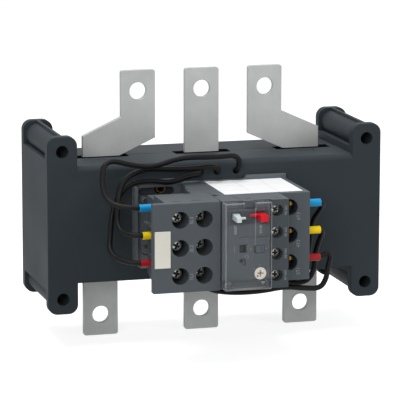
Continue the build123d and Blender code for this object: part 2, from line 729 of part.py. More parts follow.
# Relay front: the panel under the clear cover and the column of auxiliary terminals
panel_back = panel_front - face_wall
recess_floor = panel_front - 1.2
lug_places = ((relay_left + 2.0, relay_left + 4.2), (aux_left - 3.2, aux_left - 1.8))
with BuildPart() as relay_front:
    with BuildSketch(Plane.XY.offset(relay_bottom)) as front_profile:
        with BuildLine():
            Polyline(
                (relay_left, front_y - front_split),
                (relay_left, front_y - panel_front),
                (aux_left, front_y - panel_front),
                (aux_left, front_y - aux_front),
                (aux_right, front_y - aux_front),
                (aux_right, front_y - front_split),
                close=True,
            )
        make_face()
        fillet(front_profile.vertices().group_by(Axis.Y)[0], 0.5)
    extrude(amount=relay_top - relay_bottom)
    aux_wall_left = aux_left - 1.6
    inside_x = (relay_left + face_wall, aux_wall_left)
    inside_z = (relay_bottom + face_wall, relay_top - face_wall)
    prism(inside_x, (front_split, panel_back), inside_z, Mode.SUBTRACT)
    # Shelf behind the buttons for their springs
    prism(inside_x, (spring_shelf - 1.5, spring_shelf), (7.6, inside_z[1]))
    # Recess round the buttons, the thumb recess below it and the hinge relief
    with BuildSketch(ahead(panel_front)):
        with Locations(((-11.2 + 10.2) / 2, (7.7 + 16.6) / 2)):
            RectangleRounded(21.4, 8.9, 1.2)
    extrude(amount=recess_floor - panel_front, mode=Mode.SUBTRACT)
    with BuildSketch(ahead(panel_front)):
        with Locations(((-5.4 + 9.8) / 2, (1.2 + 7.8) / 2)):
            Rectangle(15.2, 6.6)
    extrude(amount=-0.6, mode=Mode.SUBTRACT)
    relief_x = (relay_left, aux_left)
    relief_d = (panel_front - 1.5, panel_front + 1)
    prism(relief_x, relief_d, (relay_bottom, -20.2), Mode.SUBTRACT)
    # The panel is thickened behind the relief
    prism(inside_x, (panel_back - 1.2, panel_back), (inside_z[0], -21.4))
    # Openings for the buttons
    for x0, x1, z0, z1 in (reset_box, stop_box):
        hole_across = (x0 - button_gap, x1 + button_gap)
        hole_up = (z0 - button_gap, z1 + button_gap)
        prism(hole_across, (panel_back - 1, panel_front), hole_up, Mode.SUBTRACT)
    # Trip window, test recess, selector slot and dial bore
    prism((-5.1, -1.3), (panel_back - 1, panel_front), (-6.4, -2.2), Mode.SUBTRACT)
    with BuildSketch(ahead(panel_front)) as test_recess:
        with Locations((-3.4, -10.9)):
            Rectangle(3.2, 3.8)
        fillet(test_recess.vertices().group_by(Axis.Y)[0].sort_by(Axis.X)[0], 2.4)
    extrude(amount=-0.9, mode=Mode.SUBTRACT)
    with BuildSketch(ahead(panel_front)):
        with Locations((-3.8, -10.6)):
            Circle(0.85 + running_gap)
    extrude(amount=-face_wall, mode=Mode.SUBTRACT)
    prism((2.3, 8.0), (recess_floor, panel_front), (-6.9, -2.9), Mode.SUBTRACT)
    prism((3.6, 6.9), (panel_back - 1, panel_front), (-5.9, -3.9), Mode.SUBTRACT)
    with BuildSketch(ahead(panel_front)):
        with Locations((dial_x, dial_z)):
            Circle(dial_r + running_gap)
    extrude(amount=-dial_seat, mode=Mode.SUBTRACT)
    with BuildSketch(ahead(panel_front)):
        with Locations((dial_x, dial_z)):
            Circle(dial_shaft_r + running_gap)
    extrude(amount=-face_wall, mode=Mode.SUBTRACT)
    # Auxiliary wells, their wire entries on the right and the slots for the contact straps
    with BuildSketch(ahead(aux_front)):
        with Locations([(aux_well_x, z) for z in aux_poles]):
            Circle(aux_well_r)
    extrude(amount=-aux_well_depth, mode=Mode.SUBTRACT)
    aux_floor = aux_front - aux_well_depth
    with BuildSketch(Plane.YZ.offset(aux_right)):
        with Locations([(front_y - aux_floor - 3.2, z) for z in aux_poles]):
            Circle(1.5)
    extrude(amount=-(aux_right - aux_well_x), mode=Mode.SUBTRACT)
    for z in aux_poles:
        strap_way = (aux_wall_left - 0.1, aux_well_x)
        prism(strap_way, (aux_floor, aux_floor + 0.8), (z - 1.7, z + 1.7), Mode.SUBTRACT)
    # Latch tab for the cover and the two hinge lugs
    prism(latch_x, (panel_front - 0.5, latch_front), (16.9, relay_top))
    for x0, x1 in lug_places:
        with BuildSketch(Plane.YZ.offset(x0)):
            with Locations((front_y - hinge_depth, hinge_z)):
                Circle(hinge_lug_r)
            with Locations((front_y - (hinge_depth + panel_front - 2) / 2, hinge_z)):
                Rectangle(hinge_depth - panel_front + 2, 2 * hinge_lug_r)
            with Locations((front_y - hinge_depth, hinge_z)):
                Circle(hinge_pin_r + running_gap, mode=Mode.SUBTRACT)
        extrude(amount=x1 - x0)
save(relay_front.part, "relay_front")

# Clear cover: a thin tray that swings down on two pins at its lower corners
with BuildPart() as clear_cover:
    cover_centre = ((cover_left + cover_right) / 2, (cover_top + cover_bottom) / 2)
    cover_size = (cover_right - cover_left, cover_top - cover_bottom)
    with BuildSketch(ahead(cover_back)):
        with Locations(cover_centre):
            RectangleRounded(cover_size[0], cover_size[1], 0.8)
    extrude(amount=cover_front - cover_back)
    fillet(clear_cover.faces().sort_by(Axis.Y)[0].edges(), 0.7)
    with BuildSketch(ahead(cover_back)):
        with Locations(cover_centre):
            Rectangle(cover_size[0] - 2 * cover_wall, cover_size[1] - 2 * cover_wall)
    extrude(amount=cover_front - cover_back - cover_wall, mode=Mode.SUBTRACT)
    prism((-11.4, 8.8), (cover_front - 2, cover_front + 1), (9.4, 16.0), Mode.SUBTRACT)
    notch_x = (latch_x[0] - 0.5, latch_x[1] + 0.5)
    prism(notch_x, (cover_back - 1, cover_front + 1), (16.4, cover_top + 1), Mode.SUBTRACT)
    # Clearance for the swing at the lower rear edge, and slots for the two lugs
    lower_edge = (cover_bottom - 1, cover_bottom + cover_wall)
    prism((cover_left, cover_right), (cover_back, hinge_depth), lower_edge, Mode.SUBTRACT)
    for x0, x1 in lug_places:
        prism((x0 - 0.3, x1 + 0.3), (cover_back, hinge_depth + 2.6), lower_edge, Mode.SUBTRACT)
    # Pins on the inner faces of the side walls
    pin_reach = 3.4
    for x0, inward in ((cover_left + cover_wall, pin_reach), (cover_right - cover_wall, -pin_reach)):
        with BuildSketch(Plane.YZ.offset(x0)):
            with Locations((front_y - hinge_depth, hinge_z)):
                Circle(hinge_pin_r)
        extrude(amount=inward)
save(clear_cover.part, "clear_cover")


def button(box, name):
    """Square push button with a flange that stops it behind the panel."""
    x0, x1, z0, z1 = box
    with BuildPart() as body:
        with BuildSketch(ahead(button_back)):
            with Locations(((x0 + x1) / 2, (z0 + z1) / 2)):
                Rectangle(x1 - x0, z1 - z0)
        extrude(amount=button_front - button_back)
        upright = body.edges().filter_by(Axis.Y)
        if name == "reset_button":
            fillet(upright.group_by(Axis.X)[0], 1.1)
        fillet(body.faces().sort_by(Axis.Y)[0].edges(), 0.4)
        flange_front = panel_back - 0.2
        prism((x0 - 0.7, x1 + 0.7), (flange_front - 1, flange_front), (z0 - 0.7, z1 + 0.7))
        if name == "reset_button":
            prism((x1 - 0.5, x1 + 2.5), (61.5, 64.2), (10.5, 12.5))
        else:
            prism((x0 - 3.0, x0 + 0.5), (61.5, 64.2), (13.5, 14.7))
    return body.part


save(button(reset_box, "reset_button"), "reset_button")
save(button(stop_box, "stop_button"), "stop_button")


def coil_spring(x, z, radius, wire_r, turns):
    """Compression spring between the spring shelf and a button's back face."""
    rise = button_back - spring_shelf - 2 * wire_r - 0.04
    with BuildPart() as spring:
        with BuildLine() as path:
            Helix(pitch=rise / turns, height=rise, radius=radius)
        with BuildSketch(Plane(origin=path.line @ 0, z_dir=path.line % 0)):
            Circle(wire_r)
        sweep(path=path.line, is_frenet=True)
    seat = Plane((x, front_y - spring_shelf - wire_r - 0.02, z), x_dir=(1, 0, 0), z_dir=(0, -1, 0))
    return seat * spring.part


for box, name in ((reset_box, "reset_spring"), (stop_box, "stop_spring")):
    spring = coil_spring((box[0] + box[1]) / 2, (box[2] + box[3]) / 2, 1.5, 0.22, 4)
    save(spring, name)

# Setting dial: a slotted disc with its shaft, a clip behind the panel and a cam
with BuildPart() as setting_dial:
    with BuildSketch(ahead(panel_front - dial_seat + 0.1)):
        with Locations((dial_x, dial_z)):
            Circle(dial_r)
    extrude(amount=dial_seat - 0.25)
    fillet(setting_dial.faces().sort_by(Axis.Y)[0].edges(), 0.3)
    with BuildSketch(ahead(panel_front - 0.15)):
        with Locations((dial_x, dial_z)):
            Rectangle(3.6, 0.9)
            Rectangle(0.9, 3.6)
    extrude(amount=-0.9, mode=Mode.SUBTRACT)
    with BuildSketch(ahead(50.5)):
        with Locations((dial_x, dial_z)):
            Circle(dial_shaft_r)
    extrude(amount=panel_front - dial_seat + 0.1 - 50.5)
    with BuildSketch(ahead(panel_back - 1.2)):
        with Locations((dial_x, dial_z)):
            Circle(2.5)
    extrude(amount=1.1)
    with BuildSketch(ahead(50.5)):
        with Locations((dial_x + 0.5, dial_z)):
            Circle(2.3)
    extrude(amount=1.5)
save(setting_dial.part, "setting_dial")

# Hand or automatic reset selector: a small plate with a stem through the panel
selector_z = -4.9
with BuildPart() as mode_selector:
    prism((3.6, 7.9), (recess_floor + 0.1, panel_front - 0.2), (selector_z - 1.8, selector_z + 1.8))
    prism((5.1, 6.7), (54.0, recess_floor + 0.1), (selector_z - 0.8, selector_z + 0.8))
    prism((4.6, 7.2), (54.0, panel_back - 0.3), (selector_z - 1.4, selector_z + 1.4))
save(mode_selector.part, "mode_selector")

with BuildPart() as test_plunger:
    with BuildSketch(ahead(53.0)):
        with Locations((-3.8, -10.6)):
            Circle(0.85)
    extrude(amount=panel_front - 1.1 - 53.0)
    with BuildSketch(ahead(panel_back - 1.1)):
        with Locations((-3.8, -10.6)):
            Circle(1.5)
    extrude(amount=0.9)
save(test_plunger.part, "test_plunger")

# Auxiliary terminals: screws, washers, fixed straps and the blades that bridge them
with BuildPart() as aux_screws:
    for z in aux_poles:
        screw((aux_well_x, z), aux_front - aux_screw_depth, aux_floor + 0.7, 2.0, 1.6, 1.2, 2.6)
save(aux_screws.part, "aux_screws")

with BuildPart() as aux_clamps:
    with BuildSketch(ahead(aux_front - aux_screw_depth - 1.6)):
        for z in aux_poles:
            with Locations((aux_well_x, z)):
                Circle(2.8)
                Circle(1.25, mode=Mode.SUBTRACT)
    extrude(amount=-0.9)
save(aux_clamps.part, "aux_clamps")

with BuildPart() as fixed_contacts:
    for z in aux_poles:
        prism((aux_wall_left - 2.6, aux_well_x + 2.2), (aux_floor, aux_floor + 0.6), (z - 1.5, z + 1.5))
save(fixed_contacts.part, "fixed_contacts")

with BuildPart() as contact_blades:
    for upper, lower in ((aux_poles[0], aux_poles[1]), (aux_poles[2], aux_poles[3])):
        strip = (aux_wall_left - 2.3, aux_wall_left - 0.3)
        prism(strip, (aux_floor - 1.1, aux_floor - 0.7), (lower - 1.2, upper + 1.2))
        with BuildSketch(ahead(aux_floor - 0.8)):
            with Locations((aux_wall_left - 1.3, upper), (aux_wall_left - 1.3, lower)):
                Circle(0.8)
        extrude(amount=0.8)
save(contact_blades.part, "contact_blades")

# Power terminals of the relay
with BuildPart() as power_screws:
    for z in relay_poles:
        tip = lead_out_depth + wire_pin_r + 0.05
        screw((power_well_x, z), power_floor + 1.6, tip, 2.6, 1.5, 1.4, 3.2)
save(power_screws.part, "power_screws")

with BuildPart() as power_clamps:
    for z in relay_poles:
        with BuildSketch(Plane.YZ.offset(power_well_x - 3.4)):
            with Locations((front_y - 34.45, z)):
                RectangleRounded(6.3, 8.4, 0.9)
                RectangleRounded(5.0, 6.8, 0.4, mode=Mode.SUBTRACT)
        extrude(amount=6.8)
        with BuildSketch(ahead(38)):
            with Locations((power_well_x, z)):
                Circle(1.5)
        extrude(amount=-2.5, mode=Mode.SUBTRACT)
save(power_clamps.part, "power_clamps")

# Bent copper straps from each heater to its terminal
strap_sheet = 0.8
foot_depth = relay_back + relay_wall
with BuildPart() as power_straps:
    for z in relay_poles:
        with BuildSketch(Plane.XY.offset(z - 2.2)):
            centre_line = (
                (9.3, front_y - foot_depth - 1.9),
                (17.2, front_y - foot_depth - 1.9),
                (17.2, front_y - 33.4),
                (27.6, front_y - 33.4),
            )
            with BuildLine():
                Polyline(*bent_strip(centre_line, strap_sheet), close=True)
            make_face()
        extrude(amount=4.4)
save(power_straps.part, "power_straps")

# Bimetal strips, each on its foot at the back of the relay
bimetal_x = 7.0
for index, z in enumerate(relay_poles, start=1):
    with BuildPart() as bimetal:
        with BuildSketch(Plane.YZ.offset(bimetal_x - 2.3)):
            with BuildLine():
                Polyline(
                    (front_y - foot_depth, z - 3.0),
                    (front_y - foot_depth, z + 0.4),
                    (front_y - 42.0, z + 0.4),
                    (front_y - 42.0, z - 0.4),
                    (front_y - foot_depth - 3.8, z - 0.4),
                    (front_y - foot_depth - 3.8, z - 3.0),
                    close=True,
                )
            make_face()
        extrude(amount=4.6)
    save(bimetal.part, f"bimetal_{index}")

# Heater sleeves slipped over the bimetals, ribbed like wound tape
with BuildPart() as heater_sleeves:
    for z in relay_poles:
        with BuildSketch(ahead(12.0)):
            with Locations((bimetal_x, z)):
                Rectangle(6.0, 2.6)
                Rectangle(5.1, 1.3, mode=Mode.SUBTRACT)
        extrude(amount=18.0)
        with BuildSketch(ahead(13.5)):
            with Locations((bimetal_x, z)):
                Rectangle(6.6, 3.2)
                Rectangle(5.6, 2.2, mode=Mode.SUBTRACT)
        extrude(amount=15.0)
save(heater_sleeves.part, "heater_sleeves")

# Thin straps that bring each pole from its link pin to the heater foot
with BuildPart() as heater_straps:
    for relay_z, pin_z in zip(relay_poles, block_poles):
        with BuildSketch(Plane.XY.offset(relay_z - 2.2)):
            centre_line = (
                (-11.0, front_y - block_wire_depth[1] + link_pin_r),
                (-11.0, front_y - foot_depth - 1.9),
                (4.7, front_y - foot_depth - 1.9),
            )
            with BuildLine():
                Polyline(*bent_strip(centre_line, 0.6), close=True)
            make_face()
        extrude(amount=2.2)
save(heater_straps.part, "heater_straps")

# Trip bar: slides up when the tips of the bimetals press the upper edges of its windows
bar_top_end = relay_poles[0] + 1.9
with BuildPart() as trip_bar:
    prism((2.0, 12.0), (38.6, 40.4), (relay_poles[2] - 4.4, bar_top_end))
    for z in relay_poles:
        prism((bimetal_x - 2.8, bimetal_x + 2.8), (38.0, 41.0), (z - 2.2, z + 0.8), Mode.SUBTRACT)
save(trip_bar.part, "trip_bar")

# Trip lever: turns on its pin, one arm over the end of the bar, the other beside the flag
with BuildPart() as trip_lever:
    with BuildSketch(ahead(38.0)):
        with Locations(lever_pivot):
            Circle(2.0)
        with BuildLine():
            Polyline(
                (lever_pivot[0], bar_top_end + 0.35),
                (3.9, bar_top_end + 0.35),
                (3.9, lever_pivot[1] + 0.8),
                (lever_pivot[0], lever_pivot[1] + 1.2),
                close=True,
            )
        make_face()
        with BuildLine():
            Polyline(
                (lever_pivot[0] - 1.0, lever_pivot[1]),
                (lever_pivot[0] - 1.0, -2.0),
                (lever_pivot[0] + 1.0, -2.0),
                (lever_pivot[0] + 1.0, lever_pivot[1]),
                close=True,
            )
        make_face()
        with Locations(lever_pivot):
            Circle(lever_pin_r + 0.05, mode=Mode.SUBTRACT)
    extrude(amount=2.0)
save(trip_lever.part, "trip_lever")

# Trip flag: the plate behind the window, with a tail that reaches back to the lever
flag_left = lever_pivot[0] + 1.0 + 0.35
with BuildPart() as trip_flag:
    prism((-8.6, -0.9), (panel_back - 1.3, panel_back - 0.5), (-6.8, -1.8))
    prism((flag_left, flag_left + 1.2), (panel_back - 1.3, panel_back - 0.5), (-2.0, 1.4))
    prism((flag_left, flag_left + 1.2), (38.2, panel_back - 0.5), (0.4, 1.4))
save(trip_flag.part, "trip_flag")


def cord(points):
    """Round lead along a line of points, with an arc at each bend as large as its runs allow."""
    places = [Vector(x, front_y - d, z) for x, d, z in points]
    radii = []
    for before, here, after in zip(places, places[1:], places[2:]):
        turn = math.radians((here - before).get_angle(after - here))
        reach = min((here - before).length, (after - here).length)
        radii.append(0.45 * reach / math.tan(turn / 2))
    print("bend radii", [round(radius, 1) for radius in radii])
    with BuildPart() as lead:
        with BuildLine() as path:
            FilletPolyline(*places, radius=radii)
        with BuildSketch(Plane(origin=path.line @ 0, z_dir=path.line % 0)):
            Circle(lead_r)
        sweep(path=path.line)
    return lead.part


# Routes of the leads: X, distance in front of the housing face, Z
z_in = [z + lead_entry_rise for z in block_poles]
z_out = relay_poles
d_in = block_wire_depth[0]
d_out = lead_out_depth
in_end = -44.0
out_end = 40.8
routes = {
    "lead_in_blue": (
        (10.4, -5.0, lead_top_z),
        (10.4, 4.6, lead_top_z),
        (10.2, 7.2, 34.2),
        (-2.0, 8.0, 33.6),
        (-17.0, 9.0, 34.2),
        (-33.0, 10.7, 30.3),
        (-46.0, 11.3, 31.4),
        (-62.0, 12.2, 36.2),
        (-66.0, 16.5, 26.5),
        (-65.3, 24.3, 15.8),
        (-54.5, d_in, z_in[0]),
        (in_end, d_in, z_in[0]),
    ),
    "lead_in_yellow": (
        (0.2, -4.0, lead_top_z),
        (0.2, 3.8, lead_top_z),
        (-2.3, 6.5, 30.2),
        (-14.0, 7.2, 27.9),
        (-28.0, 7.2, 28.4),
        (-42.5, 7.7, 29.4),
        (-52.8, 10.8, 23.0),
        (-55.5, 15.0, 12.0),
        (-58.5, 22.0, 0.8),
        (-52.5, d_in, z_in[1]),
        (in_end, d_in, z_in[1]),
    ),
    "lead_in_red": (
        (-8.8, -4.0, lead_top_z),
        (-8.8, 3.8, lead_top_z),
        (-16.5, 6.0, 24.2),
        (-26.5, 7.0, 21.0),
        (-39.0, 8.0, 23.4),
        (-50.5, 8.0, 21.2),
        (-57.5, 9.0, 11.0),
        (-59.5, 12.0, -1.5),
        (-62.5, 20.0, -12.0),
        (-53.5, d_in, z_in[2]),
        (in_end, d_in, z_in[2]),
    ),
    "lead_out_blue": (
        (10.4, -4.5, lead_bottom_z),
        (10.4, 4.5, lead_bottom_z),
        (20.5, 10.5, -29.0),
        (33.0, 15.0, -30.0),
        (43.5, 18.5, -23.0),
        (45.2, 21.0, -10.0),
        (44.8, 25.0, 1.5),
        (47.0, 31.3, 8.2),
        (47.6, d_out, z_out[0]),
        (out_end, d_out, z_out[0]),
    ),
    "lead_out_yellow": (
        (0.2, -4.5, lead_bottom_z),
        (0.2, 4.5, lead_bottom_z),
        (7.5, 10.5, -29.2),
        (17.0, 17.5, -29.6),
        (30.0, 23.5, -30.4),
        (39.8, 26.0, -31.2),
        (44.8, 27.2, -25.5),
        (45.6, 28.5, -14.7),
        (46.8, 32.8, -7.0),
        (47.6, d_out, z_out[1]),
        (out_end, d_out, z_out[1]),
    ),
    "lead_out_red": (
        (-8.8, -4.0, lead_bottom_z),
        (-8.8, 5.0, lead_bottom_z),
        (-12.0, 16.5, -31.0),
        (-10.5, 29.0, -31.6),
        (0.0, 35.0, -32.0),
        (14.0, 35.3, -31.8),
        (26.0, 35.0, -30.2),
        (36.0, 35.2, -31.6),
        (45.0, 35.0, -32.4),
        (49.0, 35.5, -27.5),
        (49.9, 36.2, -21.5),
        (51.7, 36.1, -16.0),
        (49.4, d_out, -13.5),
        (45.6, d_out, z_out[2]),
        (out_end, d_out, z_out[2]),
    ),
}
for name, points in routes.items():
    save(cord(points), name)

# Coloured end sleeves, each a collar over the last straight of its lead
sleeves = (
    ("sleeve_in_blue", -50.0, d_in, z_in[0]),
    ("sleeve_in_yellow", -48.1, d_in, z_in[1]),
    ("sleeve_in_red", -48.7, d_in, z_in[2]),
    ("sleeve_out_blue", 45.4, d_out, z_out[0]),
    ("sleeve_out_yellow", 45.4, d_out, z_out[1]),
    ("sleeve_out_red", 45.4, d_out, z_out[2]),
)
for name, outer, depth, z in sleeves:
    inward = math.copysign(1, -outer)
    inner = -41.5 if outer < 0 else 35.3
    lead_end = in_end if outer < 0 else out_end
    centre = (front_y - depth, z)
    with BuildPart() as sleeve:
        with BuildSketch(Plane.YZ.offset(outer)):
            with Locations(centre):
                Circle(sleeve_r)
        extrude(amount=inner - outer)
        fillet(sleeve.edges().sort_by(Axis.X)[0 if outer < 0 else -1], 0.2)
        with BuildSketch(Plane.YZ.offset(outer)):
            with Locations(centre):
                Circle(wire_pin_r + sleeve_fit)
        extrude(amount=inner - outer, mode=Mode.SUBTRACT)
        with BuildSketch(Plane.YZ.offset(outer)):
            with Locations(centre):
                Circle(lead_r + sleeve_fit)
        extrude(amount=lead_end - outer, mode=Mode.SUBTRACT)
        if outer > 0:
            with BuildSketch(Plane.YZ.offset(outer)):
                with Locations(centre):
                    Circle(lead_r + sleeve_mouth_gap)
            extrude(amount=inward * sleeve_mouth, mode=Mode.SUBTRACT)
    save(sleeve.part, name)

# Bare crimped ends of the leads, from the end of each lead into its clamp
with BuildPart() as ferrule_pins:
    with BuildSketch(Plane.YZ.offset(in_end)):
        with Locations([(front_y - d_in, z) for z in z_in]):
            Circle(wire_pin_r)
    extrude(amount=block_well_x[0] + 3.0 - in_end)
    with BuildSketch(Plane.YZ.offset(out_end)):
        with Locations([(front_y - d_out, z) for z in z_out]):
            Circle(wire_pin_r)
    extrude(amount=power_well_x - 2.4 - out_end)
save(ferrule_pins.part, "ferrule_pins")
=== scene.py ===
import json
import math

import bmesh
import bpy
from bpy.props import FloatProperty, FloatVectorProperty, IntProperty, PointerProperty
from mathutils import Matrix, Vector

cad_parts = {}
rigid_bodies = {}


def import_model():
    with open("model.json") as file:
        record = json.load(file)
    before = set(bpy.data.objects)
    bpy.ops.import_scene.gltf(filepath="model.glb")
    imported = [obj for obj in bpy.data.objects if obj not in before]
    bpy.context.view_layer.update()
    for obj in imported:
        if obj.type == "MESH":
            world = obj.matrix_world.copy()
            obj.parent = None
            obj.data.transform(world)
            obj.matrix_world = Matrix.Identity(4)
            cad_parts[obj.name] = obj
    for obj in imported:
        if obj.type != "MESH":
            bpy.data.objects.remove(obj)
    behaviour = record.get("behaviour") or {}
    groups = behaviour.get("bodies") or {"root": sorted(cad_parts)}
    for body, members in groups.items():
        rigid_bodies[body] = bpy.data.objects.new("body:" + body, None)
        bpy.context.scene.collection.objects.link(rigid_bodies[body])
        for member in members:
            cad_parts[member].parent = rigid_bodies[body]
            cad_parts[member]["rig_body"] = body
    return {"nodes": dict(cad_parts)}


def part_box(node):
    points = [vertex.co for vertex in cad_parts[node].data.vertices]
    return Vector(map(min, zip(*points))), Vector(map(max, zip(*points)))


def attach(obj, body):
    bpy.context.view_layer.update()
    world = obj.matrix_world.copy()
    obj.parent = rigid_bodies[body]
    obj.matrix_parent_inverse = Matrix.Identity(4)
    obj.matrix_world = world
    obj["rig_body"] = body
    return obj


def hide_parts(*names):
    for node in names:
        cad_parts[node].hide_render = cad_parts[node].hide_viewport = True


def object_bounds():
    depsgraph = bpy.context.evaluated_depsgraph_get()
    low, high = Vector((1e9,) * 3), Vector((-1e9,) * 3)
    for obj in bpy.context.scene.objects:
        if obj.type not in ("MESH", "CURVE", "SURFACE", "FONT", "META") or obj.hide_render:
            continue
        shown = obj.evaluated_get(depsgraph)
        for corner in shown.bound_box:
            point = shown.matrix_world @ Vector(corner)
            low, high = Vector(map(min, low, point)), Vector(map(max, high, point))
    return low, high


bl_info = {
    "name": "Thermal overload relay looks",
    "version": (1, 0, 0),
    "blender": (4, 5, 0),
    "location": "3D View > Sidebar > Relay",
    "description": "Dresses the packed overload relay: mouldings, terminals, controls and leads",
    "category": "Object",
}

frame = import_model()
NODES = frame["nodes"]
CAD_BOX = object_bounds()
FACE_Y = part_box("front_shell")[0].y
MM = 0.001

# Places that several steps share, in millimetres
POLE_X = (-55.0, 0.0, 55.0)
HOUSING_TOP = 30.4
BLOCK_Z = (11.6, -2.6, -16.8)
BLOCK_FRONT = 57.9
POWER_Z = (12.75, -1.4, -15.55)
POWER_FRONT = 45.1
AUX_Z = (14.565, 3.535, -7.495, -18.525)
AUX_FRONT = 60.3
PANEL_FRONT = 58.5
DIAL = (6.0, -17.4)
COVER_FRONT = 64.5


def mm(x, ahead, z):
    """Place in metres from millimetres, its depth counted forward from the housing face."""
    return Vector((x * MM, FACE_Y - ahead * MM, z * MM))


def linear(red, green, blue):
    """Colour from the usual 0 to 255 numbers."""
    scaled = [value / 255 for value in (red, green, blue)]
    return tuple(v / 12.92 if v <= 0.04045 else ((v + 0.055) / 1.055) ** 2.4 for v in scaled)


# Node building


def tuned(node, **settings):
    """The node with its settings, which are its properties, or its sockets by name."""
    for key, value in settings.items():
        if hasattr(node, key):
            setattr(node, key, value)
        else:
            node.inputs[key.replace("_", " ")].default_value = value
    return node


def add(tree, kind, **settings):
    """New node in a tree, with its settings."""
    return tuned(tree.nodes.new(kind), **settings)


def worked(tree, operation, *values):
    """Result of a math node on sockets or numbers."""
    node = add(tree, "ShaderNodeMath", operation=operation)
    for socket, value in zip(node.inputs, values):
        if isinstance(value, bpy.types.NodeSocket):
            tree.links.new(value, socket)
        else:
            socket.default_value = value
    return node.outputs[0]


def surface(name):
    """Empty material with its tree, its shader and its Object coordinates."""
    material = bpy.data.materials.new(name)
    material.use_nodes = True
    tree = material.node_tree
    shader = tree.nodes["Principled BSDF"]
    place = add(tree, "ShaderNodeTexCoord").outputs["Object"]
    return material, tree, shader, place


def noise(tree, place, scale, detail=3.0, rough=0.55):
    """Noise value at a scale counted in waves a metre."""
    node = add(tree, "ShaderNodeTexNoise", Scale=scale, Detail=detail, Roughness=rough)
    tree.links.new(place, node.inputs["Vector"])
    return node.outputs["Fac"]


def ranged(tree, value, low, high, start=0.3, end=0.7):
    """Value carried from one range to another."""
    node = add(tree, "ShaderNodeMapRange")
    for index, number in enumerate((start, end, low, high), start=1):
        node.inputs[index].default_value = number
    tree.links.new(value, node.inputs[0])
    return node.outputs[0]


def blended(tree, factor, first, second):
    """Mix of two colours by a factor socket."""
    node = add(tree, "ShaderNodeMix", data_type="RGBA")
    tree.links.new(factor, node.inputs["Factor"])
    for socket, colour in ((node.inputs[6], first), (node.inputs[7], second)):
        if isinstance(colour, bpy.types.NodeSocket):
            tree.links.new(colour, socket)
        else:
            socket.default_value = (*colour, 1.0)
    return node.outputs[2]


def bumped(tree, shader, height, strength, depth):
    """Bump on the shader from a height socket."""
    node = add(tree, "ShaderNodeBump", Strength=strength, Distance=depth)
    tree.links.new(height, node.inputs["Height"])
    tree.links.new(node.outputs["Normal"], shader.inputs["Normal"])


def shaded(colour, factor):
    """The same colour, lighter or darker."""
    return tuple(min(1.0, value * factor) for value in colour)


def moulded(name, colour, rough=0.5, sheen=0.2, grain=2600.0, depth=0.00003):
    """Moulded plastic: a fine spark-eroded grain and a slow drift in tone and gloss."""
    material, tree, shader, place = surface(name)
    drift = noise(tree, place, 22.0, 2.0)
    speck = noise(tree, place, grain * 0.6, 2.0)
    base = blended(tree, ranged(tree, drift, 0.0, 1.0), shaded(colour, 0.94), shaded(colour, 1.06))
    toned = blended(tree, ranged(tree, speck, 0.0, 0.16), base, shaded(colour, 1.35))
    tree.links.new(toned, shader.inputs["Base Color"])
    tree.links.new(ranged(tree, drift, rough - 0.04, rough + 0.05), shader.inputs["Roughness"])
    tuned(shader, Specular_IOR_Level=sheen)
    bumped(tree, shader, noise(tree, place, grain, 2.0), 0.35, depth)
    return material


def plated(name, colour, rough, along, metallic=0.9, streak=0.12):
    """Metal with fine streaks along one direction and a little staining."""
    material, tree, shader, place = surface(name)
    stretch = add(tree, "ShaderNodeMapping", Scale=along)
    tree.links.new(place, stretch.inputs["Vector"])
    lines = noise(tree, stretch.outputs[0], 900.0, 3.0)
    stain = noise(tree, place, 60.0, 4.0)
    base = blended(tree, ranged(tree, stain, 0.0, 1.0), shaded(colour, 0.9), shaded(colour, 1.05))
    toned = blended(tree, ranged(tree, lines, 0.0, streak), base, shaded(colour, 0.6))
    tree.links.new(toned, shader.inputs["Base Color"])
    tree.links.new(ranged(tree, lines, rough - 0.06, rough + 0.08), shader.inputs["Roughness"])
    tuned(shader, Metallic=metallic)
    bumped(tree, shader, lines, 0.12, 0.00003)
    return material


def clear(name, colour, strength):
    """Clear polycarbonate as a thin tint over what lies behind it, with faint flow marks."""
    material, tree, shader, place = surface(name)
    tuned(shader, Base_Color=(*colour, 1.0), Alpha=strength, Specular_IOR_Level=0.6)
    flow = noise(tree, place, 160.0, 2.0)
    tree.links.new(ranged(tree, flow, 0.06, 0.14), shader.inputs["Roughness"])
    return material


def wound(name, colour, pitch, axis):
    """Turns of wire or tape side by side along one axis, with painted shade between the turns."""
    material, tree, shader, place = surface(name)
    waves = 1.0 / pitch * 0.05
    turns = add(tree, "ShaderNodeTexWave", bands_direction=axis, Scale=waves, Distortion=0.6)
    tree.links.new(place, turns.inputs["Vector"])
    # The dark bands are painted shade in the creases between the turns
    dark = blended(tree, turns.outputs["Fac"], shaded(colour, 0.45), colour)
    tree.links.new(dark, shader.inputs["Base Color"])
    tuned(shader, Roughness=0.42)
    bumped(tree, shader, turns.outputs["Fac"], 0.5, pitch * 0.3)
    return material


def sheathed(name, colour):
    """Smooth flexible sheath of a lead, slightly uneven and dusty."""
    material, tree, shader, place = surface(name)
    dust = noise(tree, place, 240.0, 4.0)
    base = blended(tree, ranged(tree, dust, 0.0, 1.0, 0.45, 0.8), colour, shaded(colour, 1.4))
    tree.links.new(base, shader.inputs["Base Color"])
    tree.links.new(ranged(tree, dust, 0.38, 0.52), shader.inputs["Roughness"])
    tuned(shader, Specular_IOR_Level=0.14)
    bumped(tree, shader, noise(tree, place, 1500.0, 2.0), 0.15, 0.00003)
    return material


